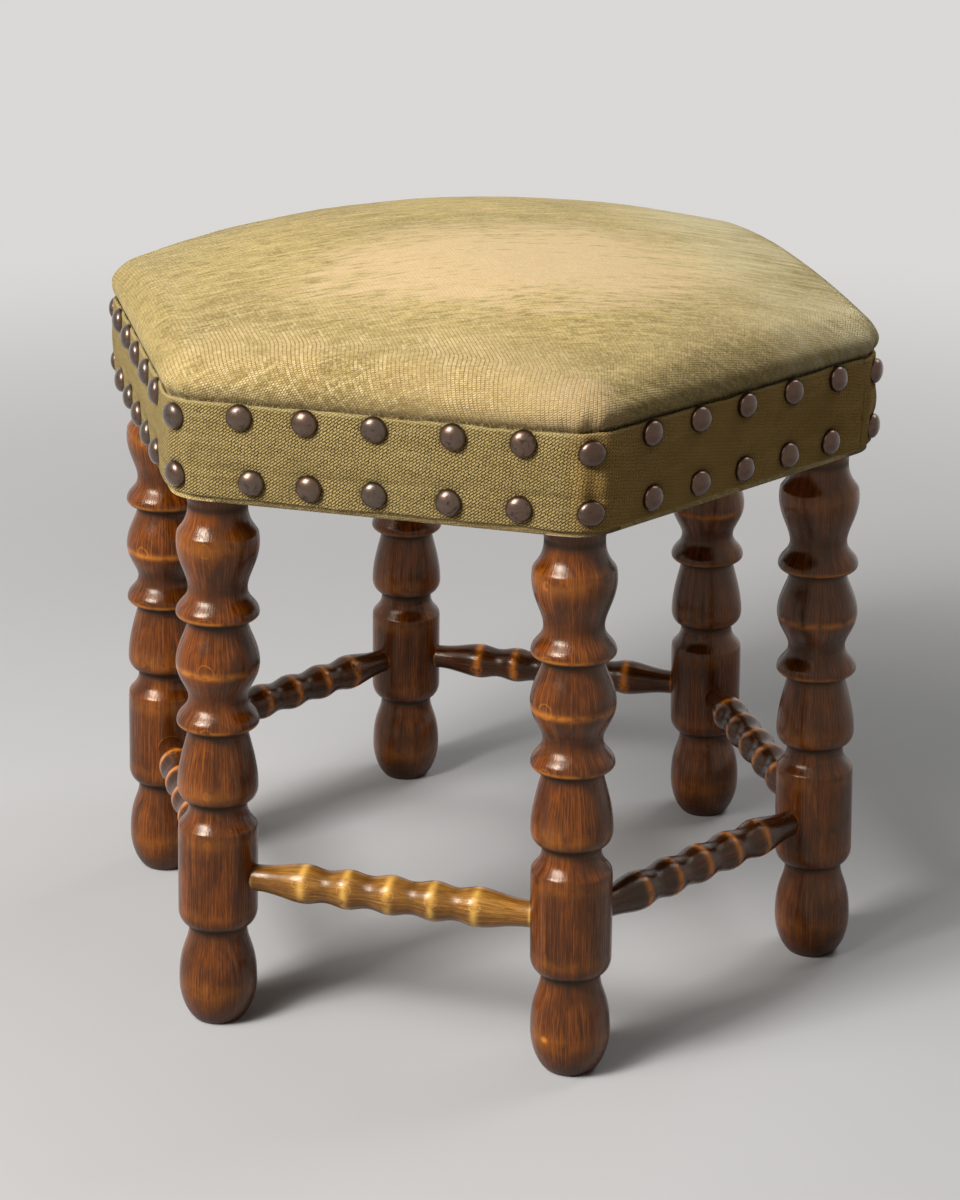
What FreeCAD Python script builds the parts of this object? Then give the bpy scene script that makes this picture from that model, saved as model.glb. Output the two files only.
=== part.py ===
import FreeCAD, Part
import math
import os

# Hexagonal stool on six splayed bobbin-turned legs with an upholstered, nail-bordered seat.
# Millimetres, +Z up, origin on the floor under the middle of the seat, a corner on +X.

# Plan
SIDES = 6
SIDE_ANGLE = 360.0 / SIDES
HALF_ANGLE = SIDE_ANGLE / 2

# Legs: members stacked from the floor up, measured along the leg
foot_height = 52.1
barrel_height = 67.7
egg_height = 38.8
ring_height = 16.0
ball_height = 40.8
vase_height = 42.6
collar_height = 10.1
foot_diameter = 39.6
sole_diameter = 25.0
barrel_diameter = 40.2
egg_diameter = 40.4
ring_diameter = 41.1
ball_diameter = 41.4
vase_diameter = 40.8
collar_diameter = 32.6
waist_diameter = 29.2
leg_splay = 1.7
leg_inset = 22.3
leg_trim = 3.0
leg_tenon_diameter = 22.0
leg_tenon_length = 30.0

# Where each member is widest, as a share of its height
foot_swell_share = 0.40
egg_swell_share = 0.15
ring_swell_share = 0.21
ball_swell_share = 0.444
vase_swell_share = 0.554
barrel_lower_round_share = 0.13
barrel_straight_share = 0.68
collar_groove_share = 0.16

# Creased shoulders of the barrel and the vase: share of the member's height, share of its radius
barrel_crease_shares = (0.747, 0.985)
vase_crease_shares = (0.653, 0.985)

# How a turned curve leaves a waist or a crease, as shares of its run outward and along it
cove_shares = (0.0, 0.50)
neck_shares = (0.0, 0.27)
vase_neck_shares = (0.0, 0.68)
undercut_shares = (0.70, 0.08)
sole_shares = (0.40, 0.22)
crease_shares = (0.60, 0.30)

# How long a curve runs straight before it ends: round on a soft swell, short on a crisp edge
round_share = 0.42
crisp_share = 0.16

# Stretchers
stretcher_height = 79.0
stretcher_end_diameter = 13.4
stretcher_ridge_diameter = 20.2
stretcher_cove_diameter = 16.6
ridge_pitch = 22.4
ridge_count = 5
taper_length = 27.0
taper_shares = (0.45, 0.32, 0.08)
ripple_shares = (0.0, 0.40)
tenon_stop_margin = 1.5

# Seat frame
frame_apothem = 176.0
frame_corner_radius = 22.0
rail_width = 50.0
rail_height = 45.0
dowel_diameter = 8.0
dowel_length = 40.0
dowel_level_shares = (0.26, 0.74)
joint_clearance = 0.1
bore_end_clearance = 1.0

# Webbing and base cloth
webbing_width = 50.0
webbing_pitch = 62.0
webbing_thickness = 1.6
webbing_bearing = 30.0
webbing_crossing_margin = 1.0
webbing_rows = (-1, 0, 1)
hessian_thickness = 0.9
layer_clearance = 0.1

# Webbing tacks and hem tacks
tack_head_diameter = 6.0
tack_head_height = 0.7
tack_rim_height = 0.3
tack_shank_width = 1.4
tack_point_share = 0.25
tack_length = 8.0
webbing_tack_setback = 9.0
webbing_tack_shares = (-0.32, 0.0, 0.32)
hem_tack_shares = (-0.24, -0.08, 0.08, 0.24)

# Padding
crown_rise = 47.0
crown_radius = 730.0
crown_edge_share = 0.9
wadding_thickness = 6.0

# Outer cloth
cover_thickness = 1.6
band_thickness = 1.8
band_foot_gap = 1.4
band_rise = 1.6
band_fold_radius = 0.7
band_joint_gap = 0.5
band_joint_corner = 2
hem_width = 22.0
hem_leg_clearance = 1.5

# Border nails
nail_head_diameter = 13.0
nail_head_height = 4.4
nail_rim_height = 0.5
nail_shank_width = 1.9
nail_point_share = 0.2
nail_length = 9.5
nails_per_side = 6
upper_nail_drop = 6.0
lower_nail_rise = 9.0
corner_nail_drop = 3.0

# Hand-set unevenness of the nails along a side, as shares of their spacing: sides take turns
upper_drift_shares = ((0.01, -0.04, -0.04, 0.08, 0.07), (0.08, 0.05, 0.03, 0.02, 0.02))
lower_drift_shares = ((0.17, 0.01, -0.04, 0.02, 0.02), (0.12, 0.08, 0.02, -0.02, -0.09))

# Derived heights and radii
leg_length = (foot_height + barrel_height + egg_height + 2 * ring_height + ball_height
              + vase_height + collar_height)
frame_underside = leg_length * math.cos(math.radians(leg_splay))
rail_top = frame_underside + rail_height
hexagon_cosine = math.cos(math.radians(HALF_ANGLE))
hexagon_sine = math.sin(math.radians(HALF_ANGLE))
crossing_top = rail_top + 1.5 * webbing_thickness + layer_clearance
hessian_bottom = crossing_top + layer_clearance
hessian_top = hessian_bottom + hessian_thickness
padding_top = rail_top + crown_rise
crown_edge_radius = crown_edge_share * frame_corner_radius
hessian_apothem = frame_apothem - wadding_thickness - layer_clearance
cover_apothem = frame_apothem + cover_thickness
cover_corner_radius = frame_corner_radius + cover_thickness
band_apothem = cover_apothem + band_thickness
band_corner_radius = cover_corner_radius + band_thickness
band_bottom = frame_underside + band_foot_gap
band_height = rail_height + band_rise
band_top = band_bottom + band_height
band_corner_reach = (band_apothem - band_corner_radius) / hexagon_cosine + band_corner_radius
frame_corner_reach = (frame_apothem - frame_corner_radius) / hexagon_cosine + frame_corner_radius
leg_circle_radius = frame_corner_reach - leg_inset
inner_apothem = frame_apothem - rail_width
stretcher_circle_radius = (leg_circle_radius
                           + (frame_underside - stretcher_height) * math.tan(math.radians(leg_splay)))
tenon_stop = (stretcher_end_diameter / 2) * math.tan(math.radians(HALF_ANGLE)) + tenon_stop_margin
over_size = 2 * (frame_apothem + leg_length)

UP = FreeCAD.Vector(0, 0, 1)
ORIGIN = FreeCAD.Vector(0, 0, 0)


def polar(radius, angle, height):
    """Point at a plan radius and angle in degrees, at a height."""
    turn = math.radians(angle)
    return FreeCAD.Vector(radius * math.cos(turn), radius * math.sin(turn), height)


def spun(shape, angle):
    """Copy of a shape turned about the middle of the stool."""
    turned = shape.copy()
    turned.rotate(ORIGIN, UP, angle)
    return turned


def revolved(edges):
    """Solid turned about +Z from the edges of a half outline in the XZ plane."""
    face = Part.Face(Part.Wire(edges))
    return face.revolve(ORIGIN, UP, 360)


def line(start, end):
    """Straight edge between two (radius, height) points of a half outline."""
    return Part.makeLine(FreeCAD.Vector(start[0], 0, start[1]), FreeCAD.Vector(end[0], 0, end[1]))


def swell(waist, widest, leave_shares, hold_share):
    """Curved edge from a waist to a widest point, both (radius, height).

    The curve leaves the waist by the given shares of the run outward and along, and comes
    to the widest point in line with the axis over its last share of the run.
    """
    out = widest[0] - waist[0]
    along = widest[1] - waist[1]
    poles = [
        FreeCAD.Vector(waist[0], 0, waist[1]),
        FreeCAD.Vector(waist[0] + leave_shares[0] * out, 0, waist[1] + leave_shares[1] * along),
        FreeCAD.Vector(widest[0], 0, widest[1] - hold_share * along),
        FreeCAD.Vector(widest[0], 0, widest[1]),
    ]
    curve = Part.BezierCurve()
    curve.setPoles(poles)
    return curve.toShape()


def hexagon_wire(apothem, corner_radius, height):
    """Hexagon with rounded corners, a corner on +X."""
    reach = (apothem - corner_radius) / hexagon_cosine
    edges = []
    for corner in range(SIDES):
        angle = corner * SIDE_ANGLE
        centre = polar(reach, angle, height)
        start = centre + polar(corner_radius, angle - HALF_ANGLE, 0)
        middle = centre + polar(corner_radius, angle, 0)
        end = centre + polar(corner_radius, angle + HALF_ANGLE, 0)
        next_centre = polar(reach, angle + SIDE_ANGLE, height)
        next_start = next_centre + polar(corner_radius, angle + HALF_ANGLE, 0)
        edges.append(Part.Arc(start, middle, end).toShape())
        edges.append(Part.makeLine(end, next_start))
    return Part.Wire(edges)


def hexagon_block(apothem, corner_radius, bottom, top):
    """Upright block over a hexagon with rounded corners."""
    face = Part.Face(hexagon_wire(apothem, corner_radius, bottom))
    return face.extrude(UP * (top - bottom))


def sharp_hexagon_block(apothem, bottom, top):
    """Upright block over a hexagon with sharp corners."""
    reach = apothem / hexagon_cosine
    points = [polar(reach, corner * SIDE_ANGLE, bottom) for corner in range(SIDES + 1)]
    return Part.Face(Part.makePolygon(points)).extrude(UP * (top - bottom))


def crowned_block(inset, bottom):
    """Hexagonal pad inset from the frame's outside: upright sides, rolled edge, crowned top.

    A negative inset gives the outside of a cloth laid over the pad.
    """
    apothem = frame_apothem - inset
    corner_radius = frame_corner_radius - inset
    top = padding_top - inset
    radius = crown_radius - inset
    block = hexagon_block(apothem, corner_radius, bottom, top + crown_rise)
    ball = Part.makeSphere(radius)
    ball.rotate(ORIGIN, FreeCAD.Vector(0, 1, 0), 90)
    ball.translate(UP * (top - radius))
    domed = block.common(ball)
    crown = [face for face in domed.Faces if isinstance(face.Surface, Part.Sphere)][0]
    return domed.makeFillet(crown_edge_radius - inset, crown.Edges)


# Legs


def leg_outline():
    """Half outline of a leg from below the sole to above the collar, radius against height."""
    waist = waist_diameter / 2
    level = 0.0
    edges = []

    sole = (sole_diameter / 2, level)
    below = (sole[0], level - leg_trim)
    edges.append(line((0, below[1]), below))
    edges.append(line(below, sole))

    # Foot: a vase that swells low down
    widest = (foot_diameter / 2, level + foot_swell_share * foot_height)
    level += foot_height
    upper = (waist, level)
    edges.append(swell(sole, widest, sole_shares, round_share))
    edges.append(swell(upper, widest, neck_shares, round_share))

    # Barrel: a straight length that takes the stretchers, under a creased shoulder
    low = (barrel_diameter / 2, level + barrel_lower_round_share * barrel_height)
    high = (barrel_diameter / 2, level + barrel_straight_share * barrel_height)
    crease = (barrel_crease_shares[1] * barrel_diameter / 2, level + barrel_crease_shares[0] * barrel_height)
    edges.append(swell(upper, low, undercut_shares, round_share))
    edges.append(line(low, high))
    edges.append(swell(crease, high, crease_shares, round_share))
    level += barrel_height
    upper = (waist, level)
    edges.append(swell(upper, crease, cove_shares, crisp_share))

    # Egg, ring, ball and ring
    members = (
        (egg_height, egg_diameter, egg_swell_share, undercut_shares, neck_shares),
        (ring_height, ring_diameter, ring_swell_share, undercut_shares, cove_shares),
        (ball_height, ball_diameter, ball_swell_share, neck_shares, neck_shares),
        (ring_height, ring_diameter, ring_swell_share, undercut_shares, cove_shares),
    )
    for height, diameter, share, lower_shares, upper_shares in members:
        lower = upper
        widest = (diameter / 2, level + share * height)
        level += height
        upper = (waist, level)
        edges.append(swell(lower, widest, lower_shares, round_share))
        edges.append(swell(upper, widest, upper_shares, round_share))

    # Vase: a long swell up to a creased shoulder
    lower = upper
    widest = (vase_diameter / 2, level + vase_swell_share * vase_height)
    crease = (vase_crease_shares[1] * vase_diameter / 2, level + vase_crease_shares[0] * vase_height)
    level += vase_height
    upper = (waist, level)
    edges.append(swell(lower, widest, neck_shares, round_share))
    edges.append(swell(crease, widest, crease_shares, round_share))
    edges.append(swell(upper, crease, vase_neck_shares, crisp_share))

    # Collar under the seat frame
    rim = (collar_diameter / 2, level + collar_groove_share * collar_height)
    level += collar_height
    above = (rim[0], level + leg_trim)
    edges.append(swell(upper, rim, undercut_shares, round_share))
    edges.append(line(rim, above))
    edges.append(line(above, (0, above[1])))
    edges.append(line((0, above[1]), (0, below[1])))
    return edges


def on_leg_axis(shape):
    """Stand a shape made about +Z from the sole up on the leg axis of the corner on +X."""
    placed = shape.copy()
    placed.translate(UP * -leg_length)
    placed.rotate(ORIGIN, FreeCAD.Vector(0, 1, 0), -leg_splay)
    placed.translate(FreeCAD.Vector(leg_circle_radius, 0, frame_underside))
    return placed


def leg_tenon_shape(clearance, end_clearance):
    """Round tenon on top of a leg, or the bore for it, reaching down inside the collar."""
    radius = leg_tenon_diameter / 2 + clearance
    start = leg_length - collar_height / 2
    length = collar_height / 2 + leg_tenon_length + end_clearance
    return on_leg_axis(Part.makeCylinder(radius, length, FreeCAD.Vector(0, 0, start)))


def stretcher_socket(angle):
    """Bore for a stretcher end in the leg on +X, heading off at an angle in plan."""
    heading = polar(1, angle, 0)
    start = FreeCAD.Vector(stretcher_circle_radius, 0, stretcher_height)
    start = start + heading * (tenon_stop - joint_clearance)
    radius = stretcher_end_diameter / 2 + joint_clearance
    return Part.makeCylinder(radius, barrel_diameter, start, heading)


def make_leg():
    """Leg of the corner on +X, flat at the floor and under the frame."""
    standing = on_leg_axis(revolved(leg_outline()))
    corner = FreeCAD.Vector(-over_size / 2, -over_size / 2, 0)
    room = Part.makeBox(over_size, over_size, frame_underside, corner)
    leg = standing.common(room).fuse(leg_tenon_shape(0, 0)).removeSplitter()
    left = stretcher_socket(180 - SIDE_ANGLE)
    right = stretcher_socket(180 + SIDE_ANGLE)
    return leg.cut(left).cut(right)


# Stretchers


def make_stretcher():
    """Turned rod from the leg on +X to the next corner, round ends let into the legs."""
    half = stretcher_circle_radius / 2
    end_radius = stretcher_end_diameter / 2
    ridge_radius = stretcher_ridge_diameter / 2
    cove_radius = stretcher_cove_diameter / 2
    tip = half - tenon_stop
    outer_ridge = ridge_pitch * (ridge_count - 1) / 2
    taper_end = outer_ridge + taper_length

    def taper(sign):
        """Curved edge from a plain end up to the outermost ridge."""
        run = taper_length * sign
        drop = ridge_radius - end_radius
        curve = Part.BezierCurve()
        curve.setPoles([
            FreeCAD.Vector(end_radius, 0, taper_end * sign),
            FreeCAD.Vector(end_radius, 0, taper_end * sign - taper_shares[0] * run),
            FreeCAD.Vector(ridge_radius - taper_shares[2] * drop, 0, outer_ridge * sign + taper_shares[1] * run),
            FreeCAD.Vector(ridge_radius, 0, outer_ridge * sign),
        ])
        return curve.toShape()

    edges = [line((0, -tip), (end_radius, -tip)), line((end_radius, -tip), (end_radius, -taper_end))]
    edges.append(taper(-1))
    for gap in range(ridge_count - 1):
        start = -outer_ridge + gap * ridge_pitch
        hollow = (cove_radius, start + ridge_pitch / 2)
        edges.append(swell(hollow, (ridge_radius, start), ripple_shares, ripple_shares[1]))
        edges.append(swell(hollow, (ridge_radius, start + ridge_pitch), ripple_shares, ripple_shares[1]))
    edges.append(taper(1))
    edges.append(line((end_radius, taper_end), (end_radius, tip)))
    edges.append(line((end_radius, tip), (0, tip)))
    edges.append(line((0, tip), (0, -tip)))

    rod = revolved(edges)
    rod.rotate(ORIGIN, FreeCAD.Vector(1, 0, 0), 90)
    rod.translate(FreeCAD.Vector(stretcher_circle_radius * hexagon_cosine, 0, stretcher_height))
    return spun(rod, HALF_ANGLE)


# Seat frame


def mitre_dowels_at_corner(clearance, end_clearance):
    """Pair of dowels across the mitre of the corner on +X, or the bores for them."""
    inner_reach = inner_apothem / hexagon_cosine
    tenon_reach = leg_circle_radius - leg_tenon_diameter / 2
    reach = (inner_reach + tenon_reach) / 2
    length = dowel_length + 2 * end_clearance
    dowels = []
    for share in dowel_level_shares:
        start = FreeCAD.Vector(reach, -length / 2, frame_underside + share * rail_height)
        radius = dowel_diameter / 2 + clearance
        dowels.append(Part.makeCylinder(radius, length, start, FreeCAD.Vector(0, 1, 0)))
    return dowels


def make_rail(drilled):
    """Mitred seat rail between the corner on +X and the next, bored and pierced."""
    outside = hexagon_block(frame_apothem, frame_corner_radius, frame_underside, rail_top)
    ring = outside.cut(sharp_hexagon_block(inner_apothem, frame_underside, rail_top))
    corners = [
        FreeCAD.Vector(0, 0, frame_underside),
        polar(over_size, 0, frame_underside),
        polar(over_size, SIDE_ANGLE, frame_underside),
        FreeCAD.Vector(0, 0, frame_underside),
    ]
    wedge = Part.Face(Part.makePolygon(corners)).extrude(UP * rail_height)
    rail = ring.common(wedge)
    bores = [leg_tenon_shape(joint_clearance, bore_end_clearance)]
    bores += mitre_dowels_at_corner(joint_clearance, bore_end_clearance)
    for angle in (0, SIDE_ANGLE):
        for bore in bores:
            rail = rail.cut(spun(bore, angle))
    return rail.cut(drilled)


# Nails and tacks


def shank(width, point_share, length):
    """Square tapered shank below zero, point down."""
    half = width / 2
    point = half * point_share
    taper = Part.makeWedge(-point, -length, -point, -half, -half, point, 0, point, half, half)
    taper.rotate(ORIGIN, FreeCAD.Vector(1, 0, 0), 90)
    return taper


def headed_pin(head_radius, head_height, rim_height, pin_shank):
    """Nail about +Z: domed head above zero on its shank."""
    edges = [
        line((0, 0), (head_radius, 0)),
        line((head_radius, 0), (head_radius, rim_height)),
    ]
    rise = head_height - rim_height
    dome = (head_radius ** 2 + rise ** 2) / (2 * rise)
    bend = math.asin(head_radius / dome) / 2
    middle = FreeCAD.Vector(dome * math.sin(bend), 0, head_height - dome + dome * math.cos(bend))
    start = FreeCAD.Vector(head_radius, 0, rim_height)
    end = FreeCAD.Vector(0, 0, head_height)
    edges.append(Part.Arc(start, middle, end).toShape())
    edges.append(line((0, head_height), (0, 0)))
    return revolved(edges).fuse(pin_shank)


def nail_seats(height, corner_drop, drift_shares):
    """Places and outward angles of a row of border nails: corners, then along each side."""
    seats = []
    run = 2 * band_corner_reach * hexagon_sine
    for side in range(SIDES):
        corner_angle = side * SIDE_ANGLE
        seats.append((polar(band_corner_reach, corner_angle, height - corner_drop), corner_angle))
        face_angle = corner_angle + HALF_ANGLE
        drifts = drift_shares[side % len(drift_shares)]
        for step in range(1, nails_per_side):
            drift = drifts[(step - 1) % len(drifts)]
            along = ((step + drift) / nails_per_side - 1 / 2) * run
            place = polar(band_apothem, face_angle, height) + polar(along, face_angle + 90, 0)
            seats.append((place, face_angle))
    return seats


def driven(shape, seat):
    """Copy of a pin driven level into the border at a seat."""
    placed = shape.copy()
    placed.rotate(ORIGIN, FreeCAD.Vector(0, 1, 0), 90)
    placed.rotate(ORIGIN, UP, seat[1])
    placed.translate(seat[0])
    return placed


# Webbing


def strip_half_length(offset, across_flats):
    """Half length of a webbing strip at an offset from the middle, lapped onto the rails."""
    offset = abs(offset)
    slope = (inner_apothem - offset * hexagon_cosine) / hexagon_sine
    if across_flats:
        return min(inner_apothem, slope) + webbing_bearing
    return (inner_apothem - offset * hexagon_sine) / hexagon_cosine + webbing_bearing


def make_strip(row, across_flats):
    """Webbing strip that passes over and under the strips crossing it."""
    offset = row * webbing_pitch
    half = strip_half_length(offset, across_flats)
    reach = webbing_width / 2 + webbing_crossing_margin
    step = (webbing_thickness + layer_clearance) / 2
    landing = strip_half_length(abs(offset) + webbing_width / 2, across_flats) - webbing_bearing
    lower = [(-half, 0), (-landing, 0)]
    for crossing in webbing_rows:
        over = (row + crossing) % 2 == 0
        level = step if over != across_flats else -step
        lower.append((crossing * webbing_pitch - reach, level))
        lower.append((crossing * webbing_pitch + reach, level))
    lower.append((landing, 0))
    lower.append((half, 0))
    points = [FreeCAD.Vector(place, 0, rail_top + level) for place, level in lower]
    points += [FreeCAD.Vector(place, 0, rail_top + level + webbing_thickness) for place, level in reversed(lower)]
    points.append(points[0])
    strip = Part.Face(Part.makePolygon(points)).extrude(FreeCAD.Vector(0, webbing_width, 0))
    strip.translate(FreeCAD.Vector(0, offset - webbing_width / 2, 0))
    return spun(strip, 90 if across_flats else 0)


def webbing_tack_places(row, across_flats):
    """Places of the tacks through both ends of a strip."""
    offset = row * webbing_pitch
    half = strip_half_length(offset, across_flats) - webbing_tack_setback
    places = []
    for end in (-half, half):
        for share in webbing_tack_shares:
            place = Part.Vertex(end, offset + share * webbing_width, rail_top + webbing_thickness)
            places.append(spun(place, 90 if across_flats else 0).Point)
    return places


# Pins, their holes and where they go
nail_hole = shank(nail_shank_width, nail_point_share, nail_length)
nail = headed_pin(nail_head_diameter / 2, nail_head_height, nail_rim_height, nail_hole)
tack_hole = shank(tack_shank_width, tack_point_share, tack_length)
tack = headed_pin(tack_head_diameter / 2, tack_head_height, tack_rim_height, tack_hole)

upper_seats = nail_seats(band_top - upper_nail_drop, corner_nail_drop, upper_drift_shares)
lower_seats = nail_seats(band_bottom + lower_nail_rise, 0, lower_drift_shares)
upper_nails = [driven(nail, seat) for seat in upper_seats]
lower_nails = [driven(nail, seat) for seat in lower_seats]
nail_holes = [driven(nail_hole, seat) for seat in upper_seats + lower_seats]

strip_plan = [(row, across_flats) for across_flats in (False, True) for row in webbing_rows]
webbing_tacks = []
webbing_tack_holes = []
for row, across_flats in strip_plan:
    for place in webbing_tack_places(row, across_flats):
        pin = tack.copy()
        pin.translate(place)
        hole = tack_hole.copy()
        hole.translate(place)
        webbing_tacks.append(pin)
        webbing_tack_holes.append(hole)

hem_tacks = []
hem_tack_holes = []
rail_length = 2 * frame_apothem * hexagon_sine / hexagon_cosine
for side in range(SIDES):
    face_angle = side * SIDE_ANGLE + HALF_ANGLE
    for share in hem_tack_shares:
        place = polar(frame_apothem - hem_width / 2, face_angle, frame_underside - cover_thickness)
        place = place + polar(share * rail_length, face_angle + 90, 0)
        pin = tack.copy()
        pin.rotate(ORIGIN, FreeCAD.Vector(1, 0, 0), 180)
        pin.translate(place)
        hole = tack_hole.copy()
        hole.rotate(ORIGIN, FreeCAD.Vector(1, 0, 0), 180)
        hole.translate(place)
        hem_tacks.append(pin)
        hem_tack_holes.append(hole)

# Outer cloth: one piece over the padding, down the rails and turned under them
padding_outside = crowned_block(0, frame_underside)
cover = crowned_block(-cover_thickness, frame_underside - cover_thickness).cut(padding_outside)
hem_room = hexagon_block(frame_apothem - hem_width, frame_corner_radius,
                         frame_underside - cover_thickness, frame_underside)
cover = cover.cut(hem_room)
collar_room = on_leg_axis(Part.makeCylinder(collar_diameter / 2 + hem_leg_clearance, collar_height + leg_trim,
                                            FreeCAD.Vector(0, 0, leg_length - collar_height)))
leg_slot = Part.makeBox(frame_apothem - hem_width, collar_diameter, cover_thickness,
                        FreeCAD.Vector(leg_circle_radius - (frame_apothem - hem_width), -collar_diameter / 2,
                                       frame_underside - cover_thickness))
below_frame = sharp_hexagon_block(2 * frame_apothem, frame_underside - collar_height, frame_underside)
for corner in range(SIDES):
    cover = cover.cut(spun(collar_room.common(below_frame), corner * SIDE_ANGLE))
    cover = cover.cut(spun(leg_slot, corner * SIDE_ANGLE))
cover = cover.cut(nail_holes + hem_tack_holes)

# Border: a strip of the same cloth laid round the rails, folded edges, ends meeting at a corner
band = hexagon_block(band_apothem, band_corner_radius, band_bottom, band_top)
rims = [edge for edge in band.Edges if abs(edge.tangentAt(edge.FirstParameter).z) < hexagon_sine]
band = band.makeFillet(band_fold_radius, rims)
band = band.cut(hexagon_block(cover_apothem, cover_corner_radius, band_bottom, band_top))
joint = Part.makeBox(over_size, band_joint_gap, band_height,
                     FreeCAD.Vector(0, nail_head_diameter / 2, band_bottom))
band = band.cut(spun(joint, band_joint_corner * SIDE_ANGLE))
band = band.cut(nail_holes)

# Padding and base cloth
stuffing = crowned_block(wadding_thickness + layer_clearance, hessian_top)
wadding = crowned_block(0, rail_top).cut(crowned_block(wadding_thickness, rail_top))
hessian = hexagon_block(hessian_apothem, frame_corner_radius - wadding_thickness, hessian_bottom, hessian_top)

# Turned and joined pieces
leg = make_leg()
stretcher = make_stretcher()
dowels = mitre_dowels_at_corner(0, 0)

nodes = {
    "mitre_dowels": [spun(dowel, corner * SIDE_ANGLE) for corner in range(SIDES) for dowel in dowels],
    "webbing_tacks": webbing_tacks,
    "hessian": [hessian],
    "stuffing": [stuffing],
    "wadding": [wadding],
    "seat_cover": [cover],
    "border_band": [band],
    "hem_tacks": hem_tacks,
    "upper_nails": upper_nails,
    "lower_nails": lower_nails,
}
for side in range(SIDES):
    number = str(side + 1)
    angle = side * SIDE_ANGLE
    holes = [spun(hole, -angle) for hole in nail_holes + hem_tack_holes + webbing_tack_holes]
    nodes["leg_" + number] = [spun(leg, angle)]
    nodes["stretcher_" + number] = [spun(stretcher, angle)]
    nodes["rail_" + number] = [spun(make_rail(holes), angle)]
for index, (row, across_flats) in enumerate(strip_plan):
    strip = make_strip(row, across_flats).cut(webbing_tack_holes)
    nodes["webbing_" + str(index + 1)] = [strip]

os.makedirs("parts", exist_ok=True)
for name, pieces in nodes.items():
    solids = [solid for piece in pieces for solid in piece.Solids]
    shape = solids[0] if len(solids) == 1 else Part.makeCompound(solids)
    shape.exportStep("parts/" + name + ".step")
    print(name, len(solids), shape.isValid(), round(shape.Volume / 1000, 2))
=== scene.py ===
# %% [markdown]
# # A worn hexagonal stool
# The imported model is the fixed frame: every piece below is in metres and in the same place as its solid.
# The turned wood, the velvet seat, the nailed border and the webbing are made again here as fine
# surfaces, so that they can carry wear, grain and weave. The seat rails, the dowels and the tacks stay
# as they are and only get better materials.

# %% Load the frame
import math
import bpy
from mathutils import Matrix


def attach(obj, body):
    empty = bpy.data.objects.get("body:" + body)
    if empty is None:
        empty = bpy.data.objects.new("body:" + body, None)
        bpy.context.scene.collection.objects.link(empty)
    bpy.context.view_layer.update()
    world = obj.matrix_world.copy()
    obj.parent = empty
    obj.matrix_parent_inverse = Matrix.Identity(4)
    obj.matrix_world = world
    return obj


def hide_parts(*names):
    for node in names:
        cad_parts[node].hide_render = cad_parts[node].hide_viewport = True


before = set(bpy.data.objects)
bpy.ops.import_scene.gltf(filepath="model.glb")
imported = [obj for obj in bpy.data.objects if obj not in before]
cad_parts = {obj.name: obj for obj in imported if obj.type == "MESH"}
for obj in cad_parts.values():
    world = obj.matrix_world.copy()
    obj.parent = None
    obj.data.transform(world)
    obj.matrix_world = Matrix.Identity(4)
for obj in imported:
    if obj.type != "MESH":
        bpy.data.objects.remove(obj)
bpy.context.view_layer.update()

from types import SimpleNamespace

import bmesh
import bpy
import numpy as np
from mathutils import Matrix

mm = 0.001

# %% [markdown]
# ## Sizes of the frame
# These repeat the driving sizes of the model in millimetres and degrees: a hexagon of rails with rounded
# corners, on legs that lean outward a little. The stool could be measured from the nodes' boxes instead,
# but a turned outline needs the height and width of every member, so they are written down.

# %% Sizes of the frame
SIDES = 6
turn = 360 / SIDES
hexagon_cos = math.cos(math.radians(turn / 2))
splay, leg_length, leg_inset = 1.7, 284.1, 22.3
under = leg_length * math.cos(math.radians(splay))
rail_height = 45.0
rail_top = under + rail_height
frame_apothem, frame_round = 176.0, 22.0
corner_reach = (frame_apothem - frame_round) / hexagon_cos + frame_round
leg_circle = corner_reach - leg_inset
print("seat underside", round(under, 2), "rail top", round(rail_top, 2), "leg circle", round(leg_circle, 2))

# %% [markdown]
# ## Surfaces from grids
# Every new piece is a grid of points, rows by columns, worked out by a formula and joined by quads. A
# curve with a lathe or a cloth modifier could make some of them, but a grid also keeps its own fields on
# the points, such as how worn a place is, and a material can read those. Where a whole row falls on one
# point, as at the middle of the seat, the points are merged, so that the pole is closed.

# %% Surface from a grid
same_place = 0.0002


def surface(name, points, closed=False, fields=None, uv=None):
    """Joins a grid of points, rows by columns by 3 in millimetres, or a stack of such grids, with quads.

    closed joins the last row to the first. fields are named numbers or vectors per point, and uv is a
    pair per point. Points in the same place become one.
    """
    grids = points.reshape(-1, *points.shape[-3:])
    index = np.arange(grids[..., 0].size).reshape(grids.shape[:3])
    if closed:
        index = np.concatenate([index, index[:, :1]], 1)
    corners = (index[:, :-1, :-1], index[:, 1:, :-1], index[:, 1:, 1:], index[:, :-1, 1:])
    quads = np.stack(corners, -1).reshape(-1, 4)
    mesh = bpy.data.meshes.new(name)
    mesh.from_pydata((points.reshape(-1, 3) * mm).tolist(), [], quads.tolist())
    for key, values in (fields or {}).items():
        values = np.asarray(values, dtype=np.float32)
        is_vector = values.ndim == points.ndim
        field_made = mesh.attributes.new(key, "FLOAT_VECTOR" if is_vector else "FLOAT", "POINT")
        field_made.data.foreach_set("vector" if is_vector else "value", values.ravel())
    if uv is not None:
        ends = np.empty(len(mesh.loops), dtype=np.int32)
        mesh.loops.foreach_get("vertex_index", ends)
        layer = mesh.uv_layers.new(name="UVMap")
        layer.data.foreach_set("uv", uv.reshape(-1, 2)[ends].astype(np.float32).ravel())
    shell = bmesh.new()
    shell.from_mesh(mesh)
    bmesh.ops.remove_doubles(shell, verts=shell.verts, dist=same_place * mm)
    shell.to_mesh(mesh)
    shell.free()
    mesh.shade_smooth()
    piece = bpy.data.objects.new(name, mesh)
    bpy.context.collection.objects.link(piece)
    return piece


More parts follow.
